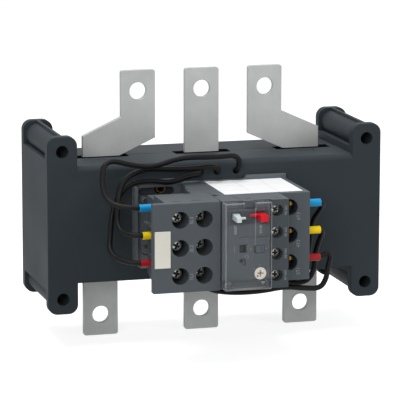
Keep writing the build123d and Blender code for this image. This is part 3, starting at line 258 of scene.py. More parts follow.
def ruled_label(name, low, high):
    """White paper label with thin grey rules, and nothing written on it."""
    material, tree, shader, place = surface(name)
    across = add(tree, "ShaderNodeSeparateXYZ")
    tree.links.new(place, across.inputs[0])
    fibre = noise(tree, place, 1400.0, 3.0)
    base = blended(tree, ranged(tree, fibre, 0.0, 1.0), (0.8, 0.81, 0.81), (0.88, 0.88, 0.88))
    lines, half_line = 0.0, 0.00009
    for axis, level in ((1, 0.28), (1, 0.62), (0, 0.36), (0, 0.7)):
        spot = low[axis] + (high[axis] - low[axis]) * level
        gap = worked(tree, "ABSOLUTE", worked(tree, "SUBTRACT", across.outputs[axis], spot))
        lines = worked(tree, "MAXIMUM", lines, worked(tree, "LESS_THAN", gap, half_line))
    tree.links.new(blended(tree, lines, base, (0.42, 0.43, 0.44)), shader.inputs["Base Color"])
    tuned(shader, Roughness=0.45)
    return material


# Even grain of metals; sheen, grain and depth of fine plastics
GRAIN = (1.0, 1.0, 1.0)
FINE = (0.2, 3000.0, 0.00001)

# Maker of each finish, its colour or the name of a setting, and the maker's values
FINISHES = {
    "housing_slate": (moulded, "housing_colour", 0.55, 0.05),
    "relay_grey": (moulded, "relay_colour", 0.48),
    "bracket_grey": (moulded, (86, 92, 96)),
    "terminal_dark": (moulded, (60, 66, 70)),
    "slot_black": (moulded, (8, 9, 10), 0.95, 0.0),
    "mark_dark": (moulded, (30, 33, 36), 0.7, 0.1),
    "mark_grey": (moulded, (136, 143, 148), 0.6),
    "mark_white": (moulded, (176, 180, 182), 0.6),
    "tinned_copper": (plated, (180, 182, 180), 0.5, (6.0, 6.0, 0.25), 0.3, 0.05),
    "zinc_steel": (plated, (186, 186, 180), 0.32, GRAIN),
    "spring_steel": (plated, (165, 165, 165), 0.3, GRAIN),
    "brass": (plated, (190, 140, 58), 0.34, GRAIN),
    "shaded_brass": (plated, (52, 42, 26), 0.6, GRAIN, 0.3),
    # Zinc steel darkened into painted shade, for the bracket screws and the screws deep in the
    # power wells
    "dark_steel": (plated, (78, 78, 76), 0.45, GRAIN, 0.7),
    # Darker steel for painted shade in the cross recesses of the screw heads
    "recess_dark": (plated, (40, 40, 38), 0.6, GRAIN, 0.4),
    "copper": (plated, (190, 112, 78), 0.34, GRAIN),
    "bimetal": (plated, (160, 152, 140), 0.36, (4.0, 0.3, 1.0)),
    "contact_silver": (plated, (200, 198, 190), 0.28, GRAIN),
    "core_steel": (wound, (96, 98, 102), 0.0006, "Z"),
    "enamel_wire": (wound, (150, 74, 34), 0.0005, "X"),
    "heater_tape": (wound, (205, 198, 178), 0.0012, "Y"),
    "clear_cover": (clear, (0.5, 0.52, 0.54), 0.035),
    # Painted reflection on the side walls, painted shade at the foot and painted highlight on the
    # rims of the clear cover
    "clear_wall": (clear, (0.4, 0.42, 0.44), 0.14),
    "clear_foot": (clear, (0.15, 0.16, 0.17), 0.88),
    "clear_rim": (clear, (0.5, 0.52, 0.54), 0.3),
    "reset_white": (moulded, (206, 214, 213), 0.35, *FINE),
    "stop_red": (moulded, (205, 24, 38), 0.32, *FINE),
    "dial_cream": (moulded, (244, 239, 226), 0.4, *FINE),
    "dial_recess": (moulded, (196, 168, 134), 0.6, *FINE),
    "selector_grey": (moulded, (78, 84, 89), 0.45, *FINE),
    "selector_blue": (moulded, (52, 68, 98), 0.4, *FINE),
    "plunger_dark": (moulded, (26, 28, 34), 0.4, *FINE),
    "tag_cream": (moulded, (217, 213, 201), 0.5, 0.2, 2800.0, 0.00002),
    "mechanism_white": (moulded, (222, 222, 216), 0.45),
    "flag_yellow": (moulded, (30, 31, 33), 0.5),
    "lead_black": (sheathed, "lead_colour"),
    "sleeve_blue": (moulded, (18, 142, 198), 0.34, *FINE),
    "sleeve_yellow": (moulded, (246, 208, 14), 0.34, *FINE),
    "sleeve_red": (moulded, (158, 30, 34), 0.34, *FINE),
}
MATERIALS = {}


def finish_of(name):
    """Finish by name, made once. A clear one has its colour as the shader takes it."""
    if name not in MATERIALS:
        maker, colour, *values = FINISHES[name]
        if isinstance(colour, str):
            colour = tuple(getattr(looks(), colour))
        elif maker is not clear:
            colour = linear(*colour)
        MATERIALS[name] = maker(name, colour, *values)
    return MATERIALS[name]


# Mesh helpers


def linked(name, data):
    """New object in the scene."""
    item = bpy.data.objects.new(name, data)
    bpy.context.scene.collection.objects.link(item)
    return item


def new_piece(name, mesh, finish, body="base", stands_for=()):
    """Object for a finished mesh, which rides on a body and may stand for CAD nodes."""
    piece = linked(name, mesh)
    mesh.materials.clear()
    mesh.materials.append(finish_of(finish))
    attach(piece, body)
    if stands_for:
        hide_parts(*stands_for)
    return piece


def settled(piece):
    """Plain mesh of a piece with its modifiers worked in."""
    bpy.context.view_layer.update()
    seen = piece.evaluated_get(bpy.context.evaluated_depsgraph_get())
    mesh = bpy.data.meshes.new_from_object(seen)
    mesh.transform(piece.matrix_world)
    old = piece.data
    bpy.data.objects.remove(piece)
    if isinstance(old, bpy.types.Mesh) and old.users == 0:
        bpy.data.meshes.remove(old)
    return mesh


def merged(node):
    """Copy of a CAD node's mesh with its triangles joined into whole faces."""
    shape = bmesh.new()
    shape.from_mesh(NODES[node].data)
    bmesh.ops.remove_doubles(shape, verts=shape.verts, dist=2e-6)
    bmesh.ops.dissolve_limit(
        shape, angle_limit=math.radians(0.8), verts=shape.verts, edges=shape.edges
    )
    mesh = bpy.data.meshes.new(node + "_whole")
    shape.to_mesh(mesh)
    shape.free()
    return mesh


def eased(mesh, width, segments=2, angle=32.0):
    """The mesh with its sharp edges rounded and its flat faces kept flat in the light."""
    loose = linked("work", mesh)
    mesh.shade_smooth()
    mesh.set_sharp_from_angle(angle=math.radians(angle))
    bevel = loose.modifiers.new("edges", "BEVEL")
    bevel.limit_method = "ANGLE"
    bevel.angle_limit = math.radians(angle)
    bevel.width = width
    bevel.segments = segments
    bevel.use_clamp_overlap = True
    bevel.miter_outer = "MITER_ARC"
    weight = loose.modifiers.new("light", "WEIGHTED_NORMAL")
    weight.keep_sharp = True
    return settled(loose)


def refined(node, finish, width, fill=(), cut=(), move=None):
    """CAD node with its edges eased, standing for the node; boxes may be filled in or cut out."""
    body = NODES[node]["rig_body"]
    mesh = merged(node)
    if move:
        for vertex in mesh.vertices:
            vertex.co += move(vertex.co)
    for pairs, operation in ((fill, "UNION"), (cut, "DIFFERENCE")):
        for pair in pairs:
            mesh = carved(mesh, boxes("tool", pair), operation)
    return new_piece(node + "_moulding", eased(mesh, width), finish, body, (node,))


def dress(finish, *nodes):
    """Give CAD nodes their finish as they are."""
    for node in nodes:
        mesh = NODES[node].data
        mesh.materials.clear()
        mesh.materials.append(finish_of(finish))


def mesh_from(shape, name):
    """Mesh from a bmesh, with its faces turned outwards."""
    bmesh.ops.remove_doubles(shape, verts=shape.verts, dist=1e-7)
    bmesh.ops.recalc_face_normals(shape, faces=shape.faces)
    mesh = bpy.data.meshes.new(name)
    shape.to_mesh(mesh)
    shape.free()
    return mesh


def bar(shape, centre, size, turn=Matrix.Identity(4)):
    """Rectangular solid about its centre, turned and added to a bmesh."""
    made = bmesh.ops.create_cube(shape, size=1.0)
    place = Matrix.Translation(centre) @ turn @ Matrix.Diagonal((*size, 1.0))
    bmesh.ops.transform(shape, matrix=place, verts=made["verts"])


def slab(shape, low, high):
    """Rectangular solid between two corners, added to a bmesh."""
    low, high = Vector(low), Vector(high)
    bar(shape, (low + high) / 2, [abs(side) for side in high - low])


def boxes(name, *pairs):
    """Mesh of rectangular solids, each between two places in millimetres."""
    shape = bmesh.new()
    for low, high in pairs:
        slab(shape, mm(*low), mm(*high))
    return mesh_from(shape, name)


def lofted(shape, rings):
    """Closed skin through rings of as many places each."""
    rings = [[shape.verts.new(place) for place in ring] for ring in rings]
    shape.faces.new(rings[0])
    shape.faces.new(rings[-1][::-1])
    for near, far in zip(rings, rings[1:]):
        for step in range(len(near)):
            after = (step + 1) % len(near)
            shape.faces.new((near[step], near[after], far[after], far[step]))


def turned(shape, outline, sides=32):
    """Solid turned about the Y axis from an outline of radius and depth."""
    rings = []
    for radius, depth in outline:
        if radius == 0:
            rings.append([shape.verts.new((0, depth, 0))])
            continue
        ring = []
        for step in range(sides):
            angle = 2 * math.pi * step / sides
            across, up = radius * math.cos(angle), radius * math.sin(angle)
            ring.append(shape.verts.new((across, depth, up)))
        rings.append(ring)
    for near, far in zip(rings, rings[1:]):
        for step in range(sides):
            after = (step + 1) % sides
            corners = [near[step % len(near)], near[after % len(near)]]
            corners += [far[after % len(far)], far[step % len(far)]]
            unique = list(dict.fromkeys(corners))
            if len(unique) > 2:
                shape.faces.new(unique)


def ring_mesh(name, outline, sides, place):
    """Ring turned about the Y axis from its outline and moved to its place."""
    shape = bmesh.new()
    turned(shape, outline, sides)
    bmesh.ops.translate(shape, verts=shape.verts, vec=place)
    return mesh_from(shape, name)


def carved(mesh, cutter, operation="DIFFERENCE"):
    """The first mesh with the second one cut out of it, or joined to it."""
    body, tool = linked("work", mesh), linked("tool", cutter)
    cut = body.modifiers.new("cut", "BOOLEAN")
    cut.operation = operation
    cut.solver = "EXACT"
    cut.object = tool
    result = settled(body)
    bpy.data.objects.remove(tool)
    bpy.data.meshes.remove(cutter)
    return result


def screw_mesh(name, head_r, head_height, shank_r, length, slot):
    """Pan-head screw along +Y from the top of its head at the origin, with a cross recess."""
    shape = bmesh.new()
    dome = head_height * 0.14
    turned(
        shape,
        (
            (0, 0),
            (head_r * 0.45, dome * 0.12),
            (head_r * 0.8, dome * 0.6),
            (head_r * 0.96, dome * 1.5),
            (head_r, dome * 2.4),
            (head_r, head_height * 0.94),
            (head_r * 0.96, head_height),
            (shank_r, head_height),
            (shank_r, length),
            (0, length),
        ),
    )
    whole = mesh_from(shape, name)
    wide, thin = slot / 2, slot / 7.5
    levels = ((-0.001, wide * 1.15, thin * 1.25), (head_height * 0.7, wide * 0.6, thin))
    for along in (0, 1):
        rings = []
        for depth, reach, half in levels:
            x, z = (reach, half) if along == 0 else (half, reach)
            rings.append([(-x, depth, -z), (x, depth, -z), (x, depth, z), (-x, depth, z)])
        tool = bmesh.new()
        lofted(tool, rings)
        whole = carved(whole, mesh_from(tool, "cross"))
    return eased(whole, 0.00006, 1, 30.0)


def points_tree():
    """Node tree that sets a piece on each point, turned by chance about Y, with a finish."""
    name = "Pieces on points"
    if name in bpy.data.node_groups:
        return bpy.data.node_groups[name]
    tree = bpy.data.node_groups.new(name, "GeometryNodeTree")
    face = tree.interface
    for label, kind in (
        ("Points", "Geometry"),
        ("Piece", "Object"),
        ("Largest turn", "Float"),
        ("Seed", "Int"),
        ("Finish", "Material"),
    ):
        face.new_socket(name=label, in_out="INPUT", socket_type="NodeSocket" + kind)
    face.new_socket(name="Pieces", in_out="OUTPUT", socket_type="NodeSocketGeometry")
    start = add(tree, "NodeGroupInput")
    end = add(tree, "NodeGroupOutput")
    source = add(tree, "GeometryNodeObjectInfo")
    chance = add(tree, "FunctionNodeRandomValue", data_type="FLOAT")
    turn = add(tree, "ShaderNodeCombineXYZ")
    spread = add(tree, "GeometryNodeInstanceOnPoints")
    whole = add(tree, "GeometryNodeRealizeInstances")
    coat = add(tree, "GeometryNodeSetMaterial")
    link = tree.links.new
    link(start.outputs["Piece"], source.inputs["Object"])
    link(start.outputs["Largest turn"], chance.inputs[3])
    link(start.outputs["Seed"], chance.inputs["Seed"])
    link(chance.outputs[1], turn.inputs["Y"])
    link(start.outputs["Points"], spread.inputs["Points"])
    link(source.outputs["Geometry"], spread.inputs["Instance"])
    link(turn.outputs[0], spread.inputs["Rotation"])
    link(spread.outputs[0], whole.inputs[0])
    link(whole.outputs[0], coat.inputs["Geometry"])
    link(start.outputs["Finish"], coat.inputs["Material"])
    link(coat.outputs[0], end.inputs[0])
    return tree


def repeated(name, part, places, finish, turn=0.0, seed=1, stands_for=()):
    """The same mesh at several places, made into one plain piece."""
    model = linked("model", part)
    cloud = bpy.data.meshes.new("places")
    cloud.from_pydata([tuple(place) for place in places], [], [])
    holder = linked("holder", cloud)
    tree = points_tree()
    setting = holder.modifiers.new("pieces", "NODES")
    setting.node_group = tree
    keys = {s.name: s.identifier for s in tree.interface.items_tree if s.in_out == "INPUT"}
    setting[keys["Piece"]] = model
    setting[keys["Largest turn"]] = turn
    setting[keys["Seed"]] = seed
    setting[keys["Finish"]] = finish_of(finish)
    mesh = settled(holder)
    bpy.data.objects.remove(model)
    return new_piece(name, mesh, finish, "base", stands_for)


def screws(name, node, places, sizes, finish, turn, chance, backwards=False):
    """Screws that stand for a CAD node. The sizes are those of screw_mesh in millimetres."""
    part = screw_mesh(name, *(size * MM for size in sizes))
    if backwards:
        part.transform(Matrix.Rotation(math.pi, 4, "Z"))
    seed = looks().seed + chance
    return repeated(name, part, places, finish, turn, seed, (node,))


def paint_recess_shade(piece, spots, reach, height):
    """Give the cross recess of each screw head a darker finish, which is painted shade in the
    recess.
    """
    piece.data.materials.append(finish_of("recess_dark"))
    for face in piece.data.polygons:
        for spot in spots:
            away = face.center - Vector(spot)
            sunk = height * 0.2 < away.y < height * 0.85
            if sunk and math.hypot(away.x, away.z) < reach:
                face.material_index = 1


# Settings that a user may change


def colour_setting(label, about, *colour):
    """Colour that a user may change."""
    return FloatVectorProperty(
        name=label,
        description="Colour of the " + about,
        subtype="COLOR",
        min=0.0,
        max=1.0,
        default=linear(*colour),
    )


class RelayLooks(bpy.types.PropertyGroup):
    housing_colour: colour_setting("Housing colour", "transformer housing", 51, 57, 61)
    relay_colour: colour_setting("Relay colour", "relay and of the terminal block", 74, 80, 84)
    lead_colour: colour_setting("Lead colour", "sheath of the leads", 11, 11, 12)
    edge: FloatProperty(
        name="Edge radius",
        description="Rounding of the moulded edges",
        default=0.0003,
        min=0.00005,
        max=0.001,
        precision=5,
        unit="LENGTH",
    )
    lead_diameter: FloatProperty(
        name="Lead diameter",
        description="Outside diameter of each lead",
        default=0.0028,
        min=0.001,
        max=0.006,
        precision=4,
        unit="LENGTH",
    )
    seed: IntProperty(name="Seed", description="Chance used to turn the screws", default=4, min=0)


def looks():
    """The settings of the scene."""
    return bpy.context.scene.relay_looks


# Camera, lights and floor


class RELAY_OT_stage(bpy.types.Operator):
    """Set the camera, the soft studio light and the pale floor."""

    bl_idname = "relay.stage"
    bl_label = "Stage"

    def execute(self, context):
        self.camera(context.scene)
        self.studio(context.scene)
        self.lamps()
        self.floor()
        return {"FINISHED"}

    def camera(self, scene):
        """Camera with the view of the photograph; its lens and shifts are in its pixels."""
        azimuth, tilt, roll = (math.radians(a) for a in (-15.817, 10.681, 0.063))
        focal, distance = 2771.668, 1.434849
        picture, sensor = 400.0, 36.0
        across, down = (shift / focal * distance for shift in (16.61, 18.27))
        flat = math.cos(tilt)
        back = Vector((math.sin(azimuth) * flat, -math.cos(azimuth) * flat, math.sin(tilt)))
        level = Vector((math.cos(azimuth), math.sin(azimuth), 0))
        upright = level.cross(-back)
        right = math.cos(roll) * level + math.sin(roll) * upright
        up = -math.sin(roll) * level + math.cos(roll) * upright
        place = back * distance - right * across + up * down
        place.y += FACE_Y
        data = bpy.data.cameras.new("camera")
        data.sensor_width = sensor
        data.lens = focal * sensor / picture
        data.clip_start, data.clip_end = 0.1, 20.0
        camera = linked("camera", data)
        turn = Matrix((right, up, back)).transposed().to_4x4()
        camera.matrix_world = Matrix.Translation(place) @ turn
        scene.camera = camera
        scene.view_settings.view_transform = "Standard"

    def studio(self, scene):
        """Soft light from all sides, with a white ground behind the part."""
        world = bpy.data.worlds.new("studio")
        scene.world = world
        world.use_nodes = True
        tree = world.node_tree
        tree.nodes.clear()
        soft = add(tree, "ShaderNodeBackground", Strength=0.3, Color=(0.93, 0.96, 1.0, 1.0))
        white = add(tree, "ShaderNodeBackground", Strength=1.0, Color=(1.0, 1.0, 1.0, 1.0))
        out = add(tree, "ShaderNodeOutputWorld")
        self.when_seen(tree, soft.outputs[0], white.outputs[0], out)

    def lamps(self):
        """Four round lamps that look at the part."""
        for name, spot, size, power in (
            ("top lamp", (-0.15, -0.1, 1.0), 0.8, 9.0),
            ("left lamp", (-0.65, -1.2, 0.5), 0.7, 5.6),
            ("right lamp", (0.9, -0.9, 0.4), 0.6, 4.5),
            ("back lamp", (0.2, 1.0, 0.9), 0.7, 0.8),
        ):
            light = bpy.data.lights.new(name, "AREA")
            light.shape = "DISK"
            light.size = size
            light.energy = power
            lamp = linked(name, light)
            lamp.location = spot
            lamp.rotation_mode = "QUATERNION"
            aim = Vector((0, -0.05, 0)) - Vector(spot)
            lamp.rotation_quaternion = aim.to_track_quat("-Z", "Y")

    def floor(self):
        """Pale floor just under the part."""
        shape = bmesh.new()
        bmesh.ops.create_grid(shape, x_segments=1, y_segments=1, size=6.0)
        bmesh.ops.translate(shape, verts=shape.verts, vec=(0, 0, CAD_BOX[0].z - 0.0004))
        mesh = bpy.data.meshes.new("floor")
        shape.to_mesh(mesh)
        shape.free()
        floor = linked("floor", mesh)
        material, tree, shader, place = surface("floor_white")
        tuned(shader, Base_Color=(0.5, 0.5, 0.5, 1.0), Roughness=0.9, Specular_IOR_Level=0.1)
        glow = add(tree, "ShaderNodeEmission", Strength=1.0, Color=(0.8, 0.8, 0.8, 1.0))
        both = add(tree, "ShaderNodeAddShader")
        for source, socket in zip((shader, glow), both.inputs):
            tree.links.new(source.outputs[0], socket)
        out = tree.nodes["Material Output"]
        self.when_seen(tree, shader.outputs[0], both.outputs[0], out)
        mesh.materials.append(material)

    def when_seen(self, tree, light, look, out):
        """Second shader for what the camera sees, straight or reflected, else the first."""
        path = add(tree, "ShaderNodeLightPath")
        seen = path.outputs["Is Camera Ray"]
        for way in ("Is Glossy Ray", "Is Transmission Ray"):
            seen = worked(tree, "MAXIMUM", seen, path.outputs[way])
        mix = add(tree, "ShaderNodeMixShader")
        for source, socket in zip((seen, light, look), mix.inputs):
            tree.links.new(source, socket)
        tree.links.new(mix.outputs[0], out.inputs[0])


# Leads

# Length in metres and points of each lead, in millimetres
LEADS = {
    "lead_in_blue": (
        0.1346,
        (10.4, -5.0, 24.6), (10.4, 4.6, 24.6), (10.2, 7.2, 34.2), (-2.0, 8.0, 33.6),
        (-21.7, 9.0, 34.6), (-35.9, 10.7, 30.6), (-46.0, 11.3, 31.4), (-62.0, 12.2, 36.2),
        (-65.4, 16.5, 26.5), (-64.8, 24.3, 15.8), (-54.5, 31.5, 13.6), (-44.0, 31.5, 13.6),
    ),
    "lead_in_yellow": (
        0.1086,
        (0.2, -4.0, 24.6), (0.2, 3.8, 24.6), (-2.3, 6.5, 29.0), (-14.0, 7.2, 27.9),
        (-28.0, 7.2, 28.4), (-42.5, 7.7, 29.4), (-54.1, 10.8, 23.5), (-56.9, 15.0, 11.6),
        (-58.5, 22.0, 0.8), (-52.5, 31.5, -0.6), (-44.0, 31.5, -0.6),
    ),
    "lead_in_red": (
        0.1101,
        (-8.8, -4.0, 24.6), (-8.8, 3.8, 24.6), (-16.5, 6.0, 24.2), (-26.5, 7.0, 21.0),
        (-39.0, 8.0, 23.4), (-50.5, 8.0, 21.2), (-57.5, 9.0, 11.0), (-59.5, 12.0, -1.5),
        (-62.5, 20.0, -12.0), (-53.5, 31.5, -14.8), (-44.0, 31.5, -14.8),
    ),
    "lead_out_blue": (
        0.0921,
        (10.4, -4.5, -26.8), (10.4, 4.5, -26.8), (20.5, 10.5, -29.0), (33.0, 15.0, -30.0),
        (43.5, 18.5, -23.0), (44.2, 21.0, -10.0), (43.9, 25.0, 1.5), (46.2, 31.3, 8.2),
        (46.9, 36.0, 12.75), (40.8, 36.0, 12.75),
    ),
    "lead_out_yellow": (
        0.0928,
        (0.2, -4.5, -26.8), (0.2, 4.5, -26.8), (7.5, 10.5, -29.2), (17.0, 17.5, -29.6),
        (30.0, 23.5, -30.4), (39.8, 26.0, -31.2), (44.3, 27.2, -25.5), (44.6, 28.5, -14.7),
        (45.3, 32.8, -7.0), (46.8, 36.0, -1.4), (40.8, 36.0, -1.4),
    ),
    "lead_out_red": (
        0.1205,
        (-8.8, -4.0, -26.8), (-8.8, 5.0, -26.8), (-12.0, 16.5, -31.0), (-10.5, 29.0, -31.6),
        (0.0, 35.0, -32.0), (14.0, 35.3, -31.8), (26.0, 35.0, -30.2), (36.0, 35.2, -31.6),
        (45.0, 35.0, -32.4), (48.2, 35.5, -27.5), (48.7, 36.2, -21.5), (50.4, 36.1, -16.0),
        (48.9, 36.0, -13.5), (45.6, 36.0, -15.55), (40.8, 36.0, -15.55),
    ),
}


class RELAY_OT_leads(bpy.types.Operator):
    """Make the six leads, each a smooth round cord between the housing and a terminal."""

    bl_idname = "relay.leads"
    bl_label = "Leads"

    def execute(self, context):
        width = looks().lead_diameter
        for name, (length, *points) in LEADS.items():
            data = bpy.data.curves.new(name + "_cord", "CURVE")
            data.dimensions = "3D"
            data.bevel_depth = width / 2
            data.bevel_resolution = 5
            data.resolution_u = 10
            data.use_fill_caps = True
            line = data.splines.new("NURBS")
            line.points.add(len(points) - 1)
            for point, place in zip(line.points, points):
                point.co = (*mm(*place), 1.0)
            line.order_u = 3
            line.use_endpoint_u = True
            data.materials.append(finish_of("lead_black"))
            cord = linked(name + "_cord", data)
            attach(cord, "base")
            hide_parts(name)
        steps = (("blue", 0.45, 0.8), ("yellow", 0.25, 0.9), ("red", -0.15, 0.9))
        for colour, left, right in steps:
            for side, step in (("in", left), ("out", -right)):
                self.sleeve(f"sleeve_{side}_{colour}", f"sleeve_{colour}", step)
        dress("tinned_copper", "ferrule_pins")
        return {"FINISHED"}

    def sleeve(self, node, finish, step):
        """Sleeve with its outer end moved a step along X, in millimetres."""
        low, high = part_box(node)
        middle = (low.x + high.x) / 2
        outer = -1 if middle < 0 else 1
        way = Vector((step * MM, 0, 0))

        def move(place):
            return way if (place.x - middle) * outer > 0 else Vector()

        refined(node, finish, 0.00012, move=move)


# Housing, busbars and what they hold


class RELAY_OT_housing(bpy.types.Operator):
    """Dress the housing's two shells, their screws and the black frames of the busbar slots."""

    bl_idname = "relay.housing"
    bl_label = "Housing"

    def execute(self, context):
        for node in ("front_shell", "rear_shell"):
            refined(node, "housing_slate", looks().edge)
        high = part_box("shell_screws")[1]
        head_r = 2.9
        x, z = high.x - head_r * MM, high.z - head_r * MM
        spots = [(side * x, high.y, end * z) for side in (-1, 1) for end in (-1, 1)]
        sizes = (head_r, 2.1, 1.45, 20.1, 3.6)
        finish = "zinc_steel"
        screws("closing_screws", "shell_screws", spots, sizes, finish, 1.5, 0, backwards=True)
        self.slot_frames()
        return {"FINISHED"}

    def slot_frames(self):
        """Black frames that close each slot round its busbar."""
        bar_low, bar_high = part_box("busbar_l2")
        half_x, half_y, half_z = 0.01475, 0.0042, 0.0006
        slot_y = FACE_Y + 0.0289
        gap = 0.0003
        near, far = bar_low.y - gap, bar_high.y + gap
        shape = bmesh.new()
        for x0, y0, x1, y1 in (
            (-half_x, slot_y - half_y, half_x, near),
            (-half_x, far, half_x, slot_y + half_y),
            (-half_x, near, bar_low.x - gap, far),
            (bar_high.x + gap, near, half_x, far),
        ):
            slab(shape, (x0, y0, -half_z), (x1, y1, half_z))
        top = HOUSING_TOP * MM - half_z
        spots = [(x * MM, 0, z) for x in POLE_X for z in (top, -top)]
        part = mesh_from(shape, "slot frame")
        repeated("slot_frames", part, spots, "slot_black")


class RELAY_OT_busbars(bpy.types.Operator):
    """Dress the three busbars."""

    bl_idname = "relay.busbars"
    bl_label = "Busbars"

    def execute(self, context):
        for index in (1, 2, 3):
            refined(f"busbar_l{index}", "tinned_copper", 0.0002)
        return {"FINISHED"}


class RELAY_OT_transformers(bpy.types.Operator):
    """Dress the cores and windings inside the housing."""

    bl_idname = "relay.transformers"
    bl_label = "Transformers"

    def execute(self, context):
        dress("core_steel", "ct_core_1", "ct_core_2", "ct_core_3")
        dress("enamel_wire", "ct_winding_1", "ct_winding_2", "ct_winding_3")
        return {"FINISHED"}


class RELAY_OT_bracket(bpy.types.Operator):
    """Dress the mounting bracket, its screws and the brass insert behind its slot."""

    bl_idname = "relay.bracket"
    bl_label = "Bracket"

    def execute(self, context):
        self.pan()
        outline = ((2.45, 2.0), (2.45, 0), (2.4, -0.06), (1.95, -0.06), (1.9, 0), (1.9, 2.0))
        outline = [(radius * MM, depth * MM) for radius, depth in outline]
        ring = ring_mesh("insert ring", outline, 40, mm(-29.9, 0, 17.3))
        new_piece("insert_ring", ring, "brass", stands_for=("brass_insert",))
        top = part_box("bracket_screws")[0].y
        spots = [(x * MM, top, z * MM) for x in (-38.5, 30.0) for z in (11.4, -14.0)]
        sizes = (2.5, 1.5, 1.5, 2.8, 3.0)
        # The bracket screws take the steel darkened into painted shade
        screws("bracket_screw_heads", "bracket_screws", spots, sizes, "dark_steel", 1.5, 1)
        return {"FINISHED"}

    def pan(self):
        """Pan, its slot nearer the relay and its left flange taller, with two oval windows."""
        mesh = merged("mounting_bracket")
        flange_x, flange_step = -0.0442, 0.0009
        for vertex in mesh.vertices:
            if vertex.co.x < flange_x:
                vertex.co.x += flange_step
        for pair in (
            ((-42.0, 2.15, 14.3), (-20.2, 3.55, 19.7)),
            ((-45.1, 2.2, -19.8), (-43.7, 6.4, 19.4)),
        ):
            mesh = carved(mesh, boxes("tool", pair), "UNION")
        for centre, axis, length, width in (
            ((-33.2, 2.8, 16.4), "Y", 19.0, 4.4),
            ((-44.4, 3.2, 12.0), "X", 5.0, 2.4),
            ((-44.4, 3.2, -11.1), "X", 5.0, 2.4),
        ):
            mesh = carved(mesh, self.slot_tool(mm(*centre), axis, length * MM, width * MM))
        mesh = eased(mesh, 0.0002)
        node = ("mounting_bracket",)
        new_piece("bracket_pan", mesh, "bracket_grey", "base", node)

    def slot_tool(self, centre, axis, length, width):
        """Solid with rounded ends that cuts a slot along Y or X."""
        half, radius, reach = (length - width) / 2, width / 2, 0.003
        rings = [[], []]
        for side in (1, -1):
            for step in range(13):
                angle = math.pi * (step / 12 - 0.5)
                along = side * (half + radius * math.cos(angle))
                across = side * radius * math.sin(angle)
                for ring, deep in zip(rings, (-reach, reach)):
                    place = (along, deep, across) if axis == "Y" else (deep, across, along)
                    ring.append(centre + Vector(place))
        shape = bmesh.new()
        lofted(shape, rings)
        return mesh_from(shape, "slot tool")


# Terminal block and relay


class RELAY_OT_block(bpy.types.Operator):
    """Dress the terminal block, its face plate, its tag and its screws."""

    bl_idname = "relay.block"
    bl_label = "Terminal block"

    def execute(self, context):
        edge = looks().edge
        refined("terminal_block_body", "relay_grey", edge * 0.7)
        refined("terminal_block_face", "relay_grey", edge * 1.2)
        refined("marker_tag", "tag_cream", 0.00015)
        dress("zinc_steel", "block_clamps")
        dress("brass", "block_bars")
        dress("tinned_copper", "link_pins")
        head_height = 1.7
        for name, x, front, tip in (("left", -35.3, 50.5, 34.9), ("right", -23.0, 48.2, 40.8)):
            spots = [mm(x, front, z) for z in BLOCK_Z]
            sizes = (2.8, head_height, 1.45, front - tip, 4.0)
            name = "block_screws_" + name
            piece = screws(name, "block_screws", spots, sizes, "zinc_steel", 0.8, 2)
            paint_recess_shade(piece, spots, 0.0021, head_height * MM)
        fins = [((-44.9, 21.6, z - 0.4), (-42.4, 38.1, z + 0.4)) for z in (4.5, -9.7)]
        new_piece("wire_fins", eased(boxes("wire fins", *fins), 0.00015), "relay_grey")
        return {"FINISHED"}


class RELAY_OT_relay(bpy.types.Operator):
    """Dress the relay's mouldings, its label and its terminal screws."""

    bl_idname = "relay.relay"
    bl_label = "Relay"

    def execute(self, context):
        edge = looks().edge
        refined("relay_base", "relay_grey", edge * 0.8)
        front = refined(
            "relay_front",
            "relay_grey",
            edge * 0.5,
            fill=(
                ((-11.2, 55.8, 9.6), (-5.3, 57.28, 15.5)),
                ((1.1, 55.8, 9.5), (8.6, 57.28, 15.6)),
            ),
            cut=(
                ((-8.7, 53.0, 10.0), (-4.5, 58.0, 13.8)),
                ((3.5, 53.0, 9.8), (8.2, 58.0, 13.8)),
            ),
        )
        self.darken(front, 10.7, 48.0)
        for prefix, levels, top, finish, sizes in (
            # The power screws take the steel darkened into painted shade of their deep wells
            ("power", POWER_Z, 39.3, "dark_steel", (2.6, 1.5, 1.4, 2.35, 3.6)),
            ("aux", AUX_Z, 56.6, "zinc_steel", (2.4, 1.6, 1.2, 6.9, 3.4)),
        ):
            node = prefix + "_screws"
            low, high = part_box(node)
            x = (low.x + high.x) / 2
            spots = [(x, FACE_Y - top * MM, z * MM) for z in levels]
            piece = screws(prefix + "_screw_heads", node, spots, sizes, finish, 0.8, 3)
            paint_recess_shade(piece, spots, sizes[4] / 2 * MM, sizes[1] * MM)
        dress("brass", "fixed_contacts")
        dress("shaded_brass", "power_clamps")
        dress("zinc_steel", "aux_clamps")
        dress("copper", "power_straps", "heater_straps")
        dress("bimetal", "bimetal_1", "bimetal_2", "bimetal_3")
        dress("heater_tape", "heater_sleeves")
        dress("contact_silver", "contact_blades")
        dress("mechanism_white", "trip_bar", "trip_lever")
        dress("flag_yellow", "trip_flag")
        # Small brass slabs in front of the power screws: painted glints in the dark power wells
        glint_slabs = [((27.1, 37.7, z - 0.1), (28.0, 39.5, z + 1.9)) for z in POWER_Z]
        new_piece("power_tongues", boxes("power tongues", *glint_slabs), "brass")
        self.label()
        return {"FINISHED"}

    def darken(self, piece, left, ahead):
        """Darker finish for the terminal columns, from their left edge on."""
        piece.data.materials.append(finish_of("terminal_dark"))
        edge = mm(left, ahead, 0)
        for face in piece.data.polygons:
            if face.center.x > edge.x and face.center.y < edge.y and abs(face.normal.z) < 0.7:
                face.material_index = 1

    def label(self):
        """White label on top of the relay."""
        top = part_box("relay_base")[1].z / MM
        low, high = (-7.6, 41.0, top - 0.1), (33.5, 3.6, top + 0.06)
        mesh = boxes("rating label", (low, high))
        MATERIALS["label_white"] = ruled_label("label_white", mm(*low), mm(*high))
        new_piece("top_label", mesh, "label_white", "base")


